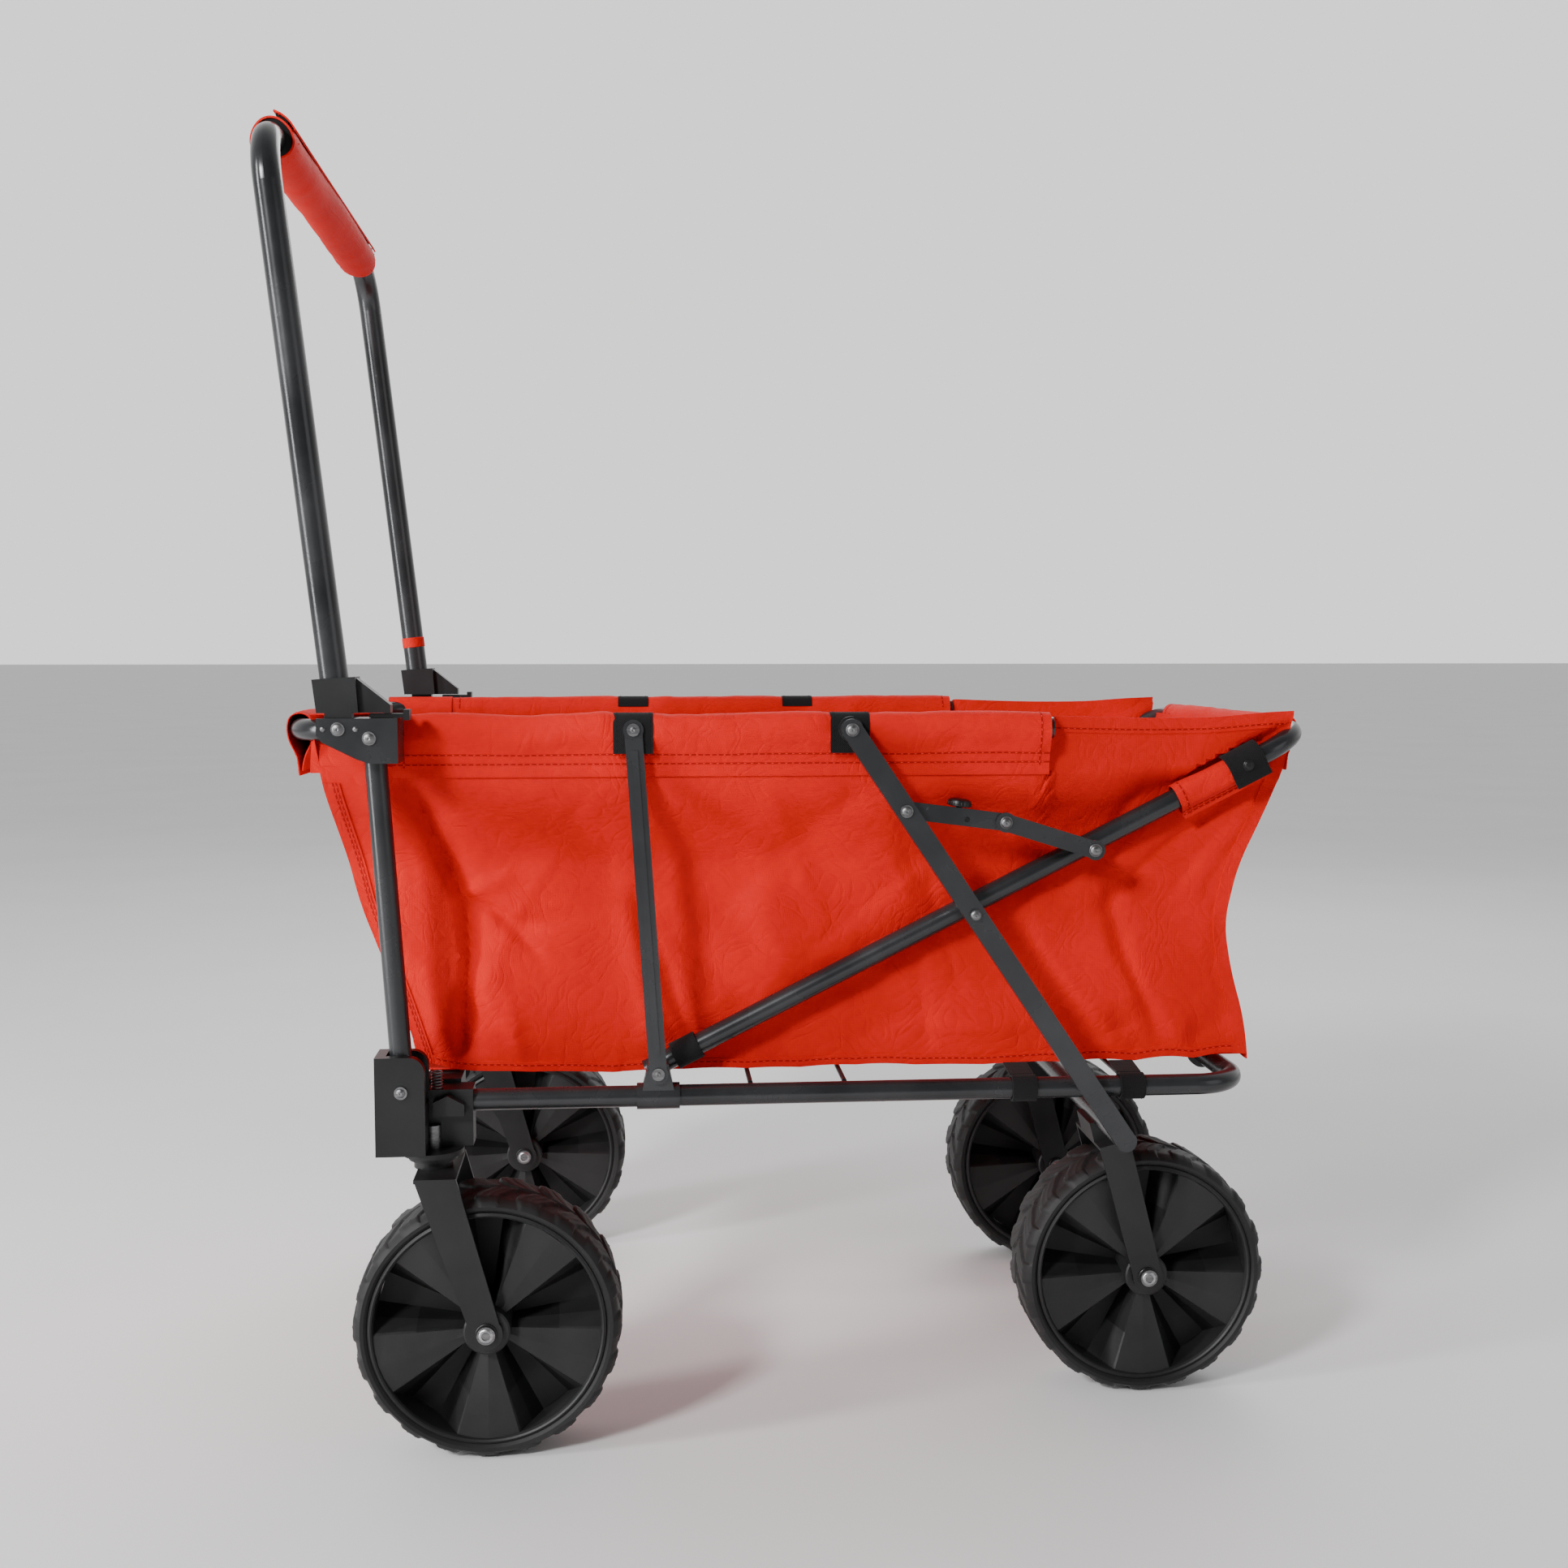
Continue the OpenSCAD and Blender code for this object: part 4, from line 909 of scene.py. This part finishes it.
def sleeve_points(lengths, seed, tight_at=(), slack=1.0):
    """Grid of (along, outward, up), rippled, and pinched where a bar is riveted through."""
    section = sleeve_section()
    rng = random.Random(seed)
    s, out = grid(lengths, section[:, 0])
    up = grid(lengths, section[:, 1])[1]
    around = grid(lengths, np.linspace(0, 1, len(section)))[1]
    ripple = creases(s, around * 120, seed, int(len(lengths) * 0.5), 26, 3.0, 8.0, 1.1 * slack,
                     ((min(lengths), max(lengths)), (0, 120)))
    body = smooth((around - 0.12) / 0.12) * smooth((0.88 - around) / 0.12)
    radial = np.stack([out, up + 6], axis=2)
    radial /= np.maximum(np.linalg.norm(radial, axis=2, keepdims=True), 1e-6)
    wave = 0.9 * slack * np.sin(s / 23 + rng.uniform(0, 6)) * np.sin(around * 9 + rng.uniform(0, 6))
    out = out + radial[..., 0] * (ripple + wave) * body
    up = up + radial[..., 1] * (ripple + wave) * body
    for at, reach in tight_at:
        pinch = np.exp(-((s - at) / reach) ** 4)
        out = np.where(out > TIGHT, out + (TIGHT - out) * pinch, out)
        far = np.hypot(out / PINCH[0], up / PINCH[1])
        scale = np.where((far > 1) & (up > -5), 1 / np.maximum(far, 1e-6), 1.0)
        out, up = out * (1 + (scale - 1) * pinch), up * (1 + (scale - 1) * pinch)
    return s, out, up


def sleeve_piece(name, lengths, place, seed, body, tight_at=(), slack=1.0):
    """A sewn sleeve: place turns (along, outward, up) into points of the object."""
    s, out, up = sleeve_points(lengths, seed, tight_at, slack)
    points = place(s, out, up)
    parts = Parts()
    parts.sheet(points, CLOTH)
    n = normals_of(points)
    middle, half = len(lengths) // 2, points.shape[1] // 2
    outward = points[middle, half] - points[middle, 8:half + 12].mean(axis=0)
    if np.dot(n[middle, half], outward) < 0:
        n = -n
    for row in (4, 7):
        stitches(parts, points[:, row], n[:, row], 1, lift=0.8, groove=2)
    for col in (2, len(lengths) - 3):
        stitches(parts, points[col, 3:30], n[col, 3:30], 1, lift=0.8, groove=2)
    obj = parts.make(name, [RED, THREAD, SEAM_SHADE], body, "red_fabric", 50)


SLEEVE_X0 = POST_TOP[0] + 12
for side, word in SIDES:
    def along_x(s, out, up, side=side):
        return np.stack([s, side * (RAIL_Y + out), TOP_Z + up], axis=2)
    sleeve_piece(f"rail_sleeve_{word}", np.arange(SLEEVE_X0, TAIL_X + 0.1, 4.0), along_x, 61 + side,
                 "top_frame", ((STRUT_TOP[0], 18), (LEG_TOP[0], 18), (SLEEVE_X0, 26)))
    # Inside the bracket only the inner half of the sleeve goes on to the corner.
    section = sleeve_section()[22:]
    s = np.arange(-384.0, SLEEVE_X0 + 1, 4.0)[:, None] * np.ones((1, len(section)))
    ripple = 0.8 * np.sin(s / 9.0) * np.linspace(0.2, 1, len(section))[None, :]
    out, up = section[None, :, 0] - ripple + 0 * s, section[None, :, 1] + 0 * s
    flap_obj = cloth_piece(f"corner_flap_{word}", along_x(s, out, up), "top_frame")

FRONT_HALF, REAR_HALF = 196, 160


def across_front(s, out, up):
    bow = 1.5 * np.sin((s + 200) / 400 * math.pi)
    return np.stack([FRONT_BAR_X - out, s, TOP_Z + up - bow * (up < -10)], axis=2)


sleeve_piece("front_sleeve", np.arange(-FRONT_HALF, FRONT_HALF + 0.1, 4.0), across_front, 71,
             "top_frame")


def across_rear(s, out, up):
    return np.stack([HOOP_END[0] + out * 0.92, s, HOOP_END[1] + up * 0.92], axis=2)


sleeve_piece("rear_sleeve", np.arange(-REAR_HALF, REAR_HALF + 0.1, 4.0), across_rear, 77, "hoop")

HOOP_START, HOOP_STOP = 474.0, 552.0
for side, word in SIDES:
    def along_hoop(s, out, up, side=side):
        centre = STRUT_FOOT[None, None, :] + s[..., None] * HOOP_DIR[None, None, :]
        normal = np.array([-HOOP_DIR[1], HOOP_DIR[0]])
        # The seam tail below the tube is short here, to clear the base when folded.
        level = np.where(up < -8, -8 + (up + 8) * 0.42, up) * 0.9
        place = centre + level[..., None] * normal[None, None, :]
        return np.stack([place[..., 0], side * (HOOP_Y + out), place[..., 1]], axis=2)
    sleeve_piece(f"hoop_sleeve_{word}", np.arange(HOOP_START, HOOP_STOP + 0.1, 3.0), along_hoop,
                 83 + side, "hoop", slack=0.7)


# ---- webbing patches and straps
def wrap_patch(parts, at, direction, width, radius, start, stop, thick, side, flat_low=0.0):
    """Webbing wrapped round a tube at a place (x, y, z), from angle start to stop, after a straight
    tail. radius is (outward, upward)."""
    direction = np.asarray(direction, float) / np.linalg.norm(direction)
    up = Z_AXIS - direction * direction[2]
    up /= np.linalg.norm(up)
    out = np.array([0, side, 0.0])
    steps = np.linspace(math.radians(start), math.radians(stop), 40)
    rows = [-0.5, -0.485, -0.42, -0.2, 0.0, 0.2, 0.42, 0.485, 0.5]
    line = [radius[0] * math.cos(a) * out + radius[1] * math.sin(a) * up for a in steps]
    if flat_low:
        line = [line[0] - up * flat_low * t for t in (1.0, 0.8, 0.6, 0.4, 0.2)] + line
    points = np.array([[np.asarray(at) + direction * width * k + p for p in line] for k in rows])
    n = normals_of(points)
    if np.dot(n[4, len(line) // 2], line[len(line) // 2]) < 0:
        points = points[::-1]
    parts.sheet(points, thick)
    n = normals_of(points)
    for k in (2, 6):
        stitches(parts, points[k] + n[k] * thick * 0.4, n[k], 1, 2.4, 1.4, 0.35, 0.3)
    stitches(parts, points[1:-1, 2] + n[1:-1, 2] * thick * 0.4, n[1:-1, 2], 1, 2.4, 1.4, 0.35, 0.3)


def webbing(parts, name, body):
    obj = parts.make(name, [WEBBING, WEBBING], body, "black_plastic", 50)


HOOP_LINE = (HOOP_DIR[0], 0, HOOP_DIR[1])
STRAPS_X = (178, 267)
for side, word in SIDES:
    patches = Parts()
    for at in (STRUT_TOP, LEG_TOP):
        wrap_patch(patches, (at[0], side * RAIL_Y, at[1]), (1, 0, 0), 31, (9.6, 12.8), -12, 168,
                   0.9, side, flat_low=16)
    webbing(patches, f"rail_patches_{word}", "top_frame")
    patches = Parts()
    wrap_patch(patches, (SNAP_AT[0], side * HOOP_Y, SNAP_AT[1]), HOOP_LINE, 31, (12.9, 14.2),
               -22, 98, 1.3, side, flat_low=9)
    webbing(patches, f"hoop_patch_{word}", "hoop")
    snap = Parts()
    rivet(snap, SNAP_AT, HOOP_Y + 13.2, side, 4.6, 1.6)
    snap.make(f"hoop_snap_{word}", [PLASTIC], "hoop", "steel", 30)
    straps = Parts()
    for x in STRAPS_X:
        wrap_patch(straps, (x, side * RAIL_Y, BASE_Z), (1, 0, 0), 20, (TUBE + 1.5,) * 2, -170, 175,
                   1.6, side)
        tail = np.array([[(x + a, side * (RAIL_Y - 6 - 26 * t), BASE_Z + TUBE + 1.0 + 3.4 * t)
                          for t in np.linspace(0, 1, 8)] for a in (-10, 0, 10)])
        straps.sheet(tail, 1.4)
    webbing(straps, f"base_straps_{word}", "root")
    straps = Parts()
    wrap_patch(straps, (STRAP_AT[0], side * HOOP_Y, STRAP_AT[1]), HOOP_LINE, 22, (TUBE + 1.7,) * 2,
               -165, 172, 1.8, side)
    webbing(straps, f"hoop_strap_{word}", "hoop")

# ---- handle
GRIP_AT, (_, GRIP_HALF, GRIP_R) = middle_and_half("handle_grip")
LEAN = math.atan2(HANDLE[0] - GRIP_AT[0], GRIP_AT[2] - HANDLE[1])
ROWS, TURNS, GRIP_ROUND = 110, 72, 116
turns = np.linspace(0, 1, TURNS)
ys = np.linspace(-GRIP_HALF, GRIP_HALF, ROWS)
ridge = creases(*grid(ys, GRIP_ROUND * turns), 91, 60, 40, 4, 10, 0.7,
                ((-GRIP_HALF, GRIP_HALF), (0, GRIP_ROUND)))
SEAM = math.radians(58)


def on_grip(angle, r, y):
    return GRIP_AT[0] + r * math.cos(angle), y, GRIP_AT[2] + r * math.sin(angle)


# The wrap, and the flap over it that lifts a little along its free edge, with hook tape below.
grip, flap, strip = (np.zeros((ROWS, count, 3)) for count in (TURNS, 12, 6))
for i, y in enumerate(ys):
    end_pull = 0.9 * math.exp(-((GRIP_HALF - abs(y)) / 5) ** 2)
    for j, t in enumerate(turns):
        a = SEAM + 2 * math.pi * t
        r = (GRIP_R - 1.6 - end_pull + 0.6 * math.sin(3 * a + y / 60)
             + ridge[i, j] * math.sin(math.pi * t))
        grip[i, j] = on_grip(a, r, y)
    lift = 3.2 + 2.6 * smooth((y + GRIP_HALF) / (2 * GRIP_HALF)) + 0.9 * math.sin(y / 37)
    for j in range(12):
        t = j / 11
        flap[i, j] = on_grip(SEAM - math.radians(34) + math.radians(64) * t,
                             GRIP_R + 0.2 + lift * t ** 1.8, y * 0.985)
    for j in range(6):
        t = j / 5
        strip[i, j] = on_grip(SEAM - math.radians(6) + math.radians(32) * t,
                              GRIP_R - 0.7 + (lift * (0.35 + 0.65 * t) ** 1.8) * 0.72, y * 0.97)
parts = Parts()
parts.sheet(grip, 1.6)
n = normals_of(grip)
for i in (3, 106):
    stitches(parts, grip[i], n[i], 1, lift=1.1)
    stitches(parts, grip[i], -n[i], 1, lift=1.1)
parts.sheet(flap, 1.4)
n = normals_of(flap)
stitches(parts, flap[:, 9], -n[:, 9], 1, lift=1.0)
stitches(parts, flap[:, 9], n[:, 9], 1, lift=1.0)
parts.sheet(strip, 1.6, 2)
grip_obj = parts.make("grip_wrap", [GRIP_RED, THREAD, WEBBING], "handle", "red_fabric", 50)
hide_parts("handle_grip")
# A foam core shows as a dark ring at each end of the wrap.
ARM_R = 10.9                  # just over the handle's tube
parts = Parts()
for side in (-1, 1):
    parts.add(*lathe([(-6, GRIP_R - 2.6), (-1.5, GRIP_R - 2.8), (-0.8, GRIP_R - 4.5),
                      (-0.8, ARM_R)], (GRIP_AT[0], side * GRIP_HALF, GRIP_AT[2]), (0, side, 0), 40))
parts.make("grip_core", [WEBBING], "handle", "black_plastic", 40)
# A narrow band of tape on one arm.
arm_dir = np.array([-math.sin(LEAN), 0, math.cos(LEAN)])
arm_y = box_mm("handle_tube")[1][1] - 10.75
band_at = np.array([HANDLE[0], arm_y, HANDLE[1]]) + arm_dir * 66
parts = Parts()
parts.add(*lathe([(-5, ARM_R), (-4.6, 11.25), (4.6, 11.25), (5, ARM_R)], band_at, arm_dir, 40))
parts.make("arm_tape", [GRIP_RED], "handle", "red_fabric", 40)

# ---- studio
world = bpy.data.worlds.new("studio")
scene.world = world
world.use_nodes = True
sky, sky_links = world.node_tree.nodes, world.node_tree.links
direction = sky.new("ShaderNodeTexCoord").outputs["Generated"]
split = sky.new("ShaderNodeSeparateXYZ")
sky_links.new(direction, split.inputs[0])
room = sky.new("ShaderNodeMapRange")
room.interpolation_type = "SMOOTHSTEP"
for key, value in (("From Min", -0.5), ("From Max", 0.9), ("To Min", 0.16), ("To Max", 1.3)):
    room.inputs[key].default_value = value
sky_links.new(split.outputs[1], room.inputs["Value"])
sky["Background"].inputs[0].default_value = (1.0, 1.0, 1.0, 1)
sky_links.new(room.outputs[0], sky["Background"].inputs[1])


def area_light(name, at, target, size, power):
    data = bpy.data.lights.new(name, "AREA")
    data.shape = "RECTANGLE"
    data.size, data.size_y = size
    data.energy = power
    obj = bpy.data.objects.new(name, data)
    scene.collection.objects.link(obj)
    obj.location = at
    obj.rotation_euler = (Vector(target) - Vector(at)).to_track_quat("-Z", "Y").to_euler()


area_light("key", (-2.1, -2.6, 2.2), (0, 0, 0.4), (0.55, 0.55), 116)
area_light("fill", (2.4, -2.0, 1.2), (0, 0, 0.4), (1.6, 1.6), 9)
area_light("strip", (-2.7, -1.1, 1.1), (-0.2, 0, 0.6), (0.35, 2.2), 66)
area_light("back", (0.8, 2.4, 2.4), (0, 0, 0.4), (2.0, 1.2), 30)

FAR = 60
ground = bpy.data.meshes.new("ground")
ground.from_pydata([(-FAR, -FAR, 0), (FAR, -FAR, 0), (FAR, FAR, 0), (-FAR, FAR, 0)], [],
                   [(0, 1, 2, 3)])
ground_obj = bpy.data.objects.new("ground", ground)
scene.collection.objects.link(ground_obj)
g = Graph("pale_floor")
pale = g.ramp(g.noise(2.0, 3.0), [(0.3, (0.80, 0.80, 0.80)), (0.7, (0.84, 0.84, 0.84))])
ground.materials.append(g.finish(pale, Roughness=0.7))
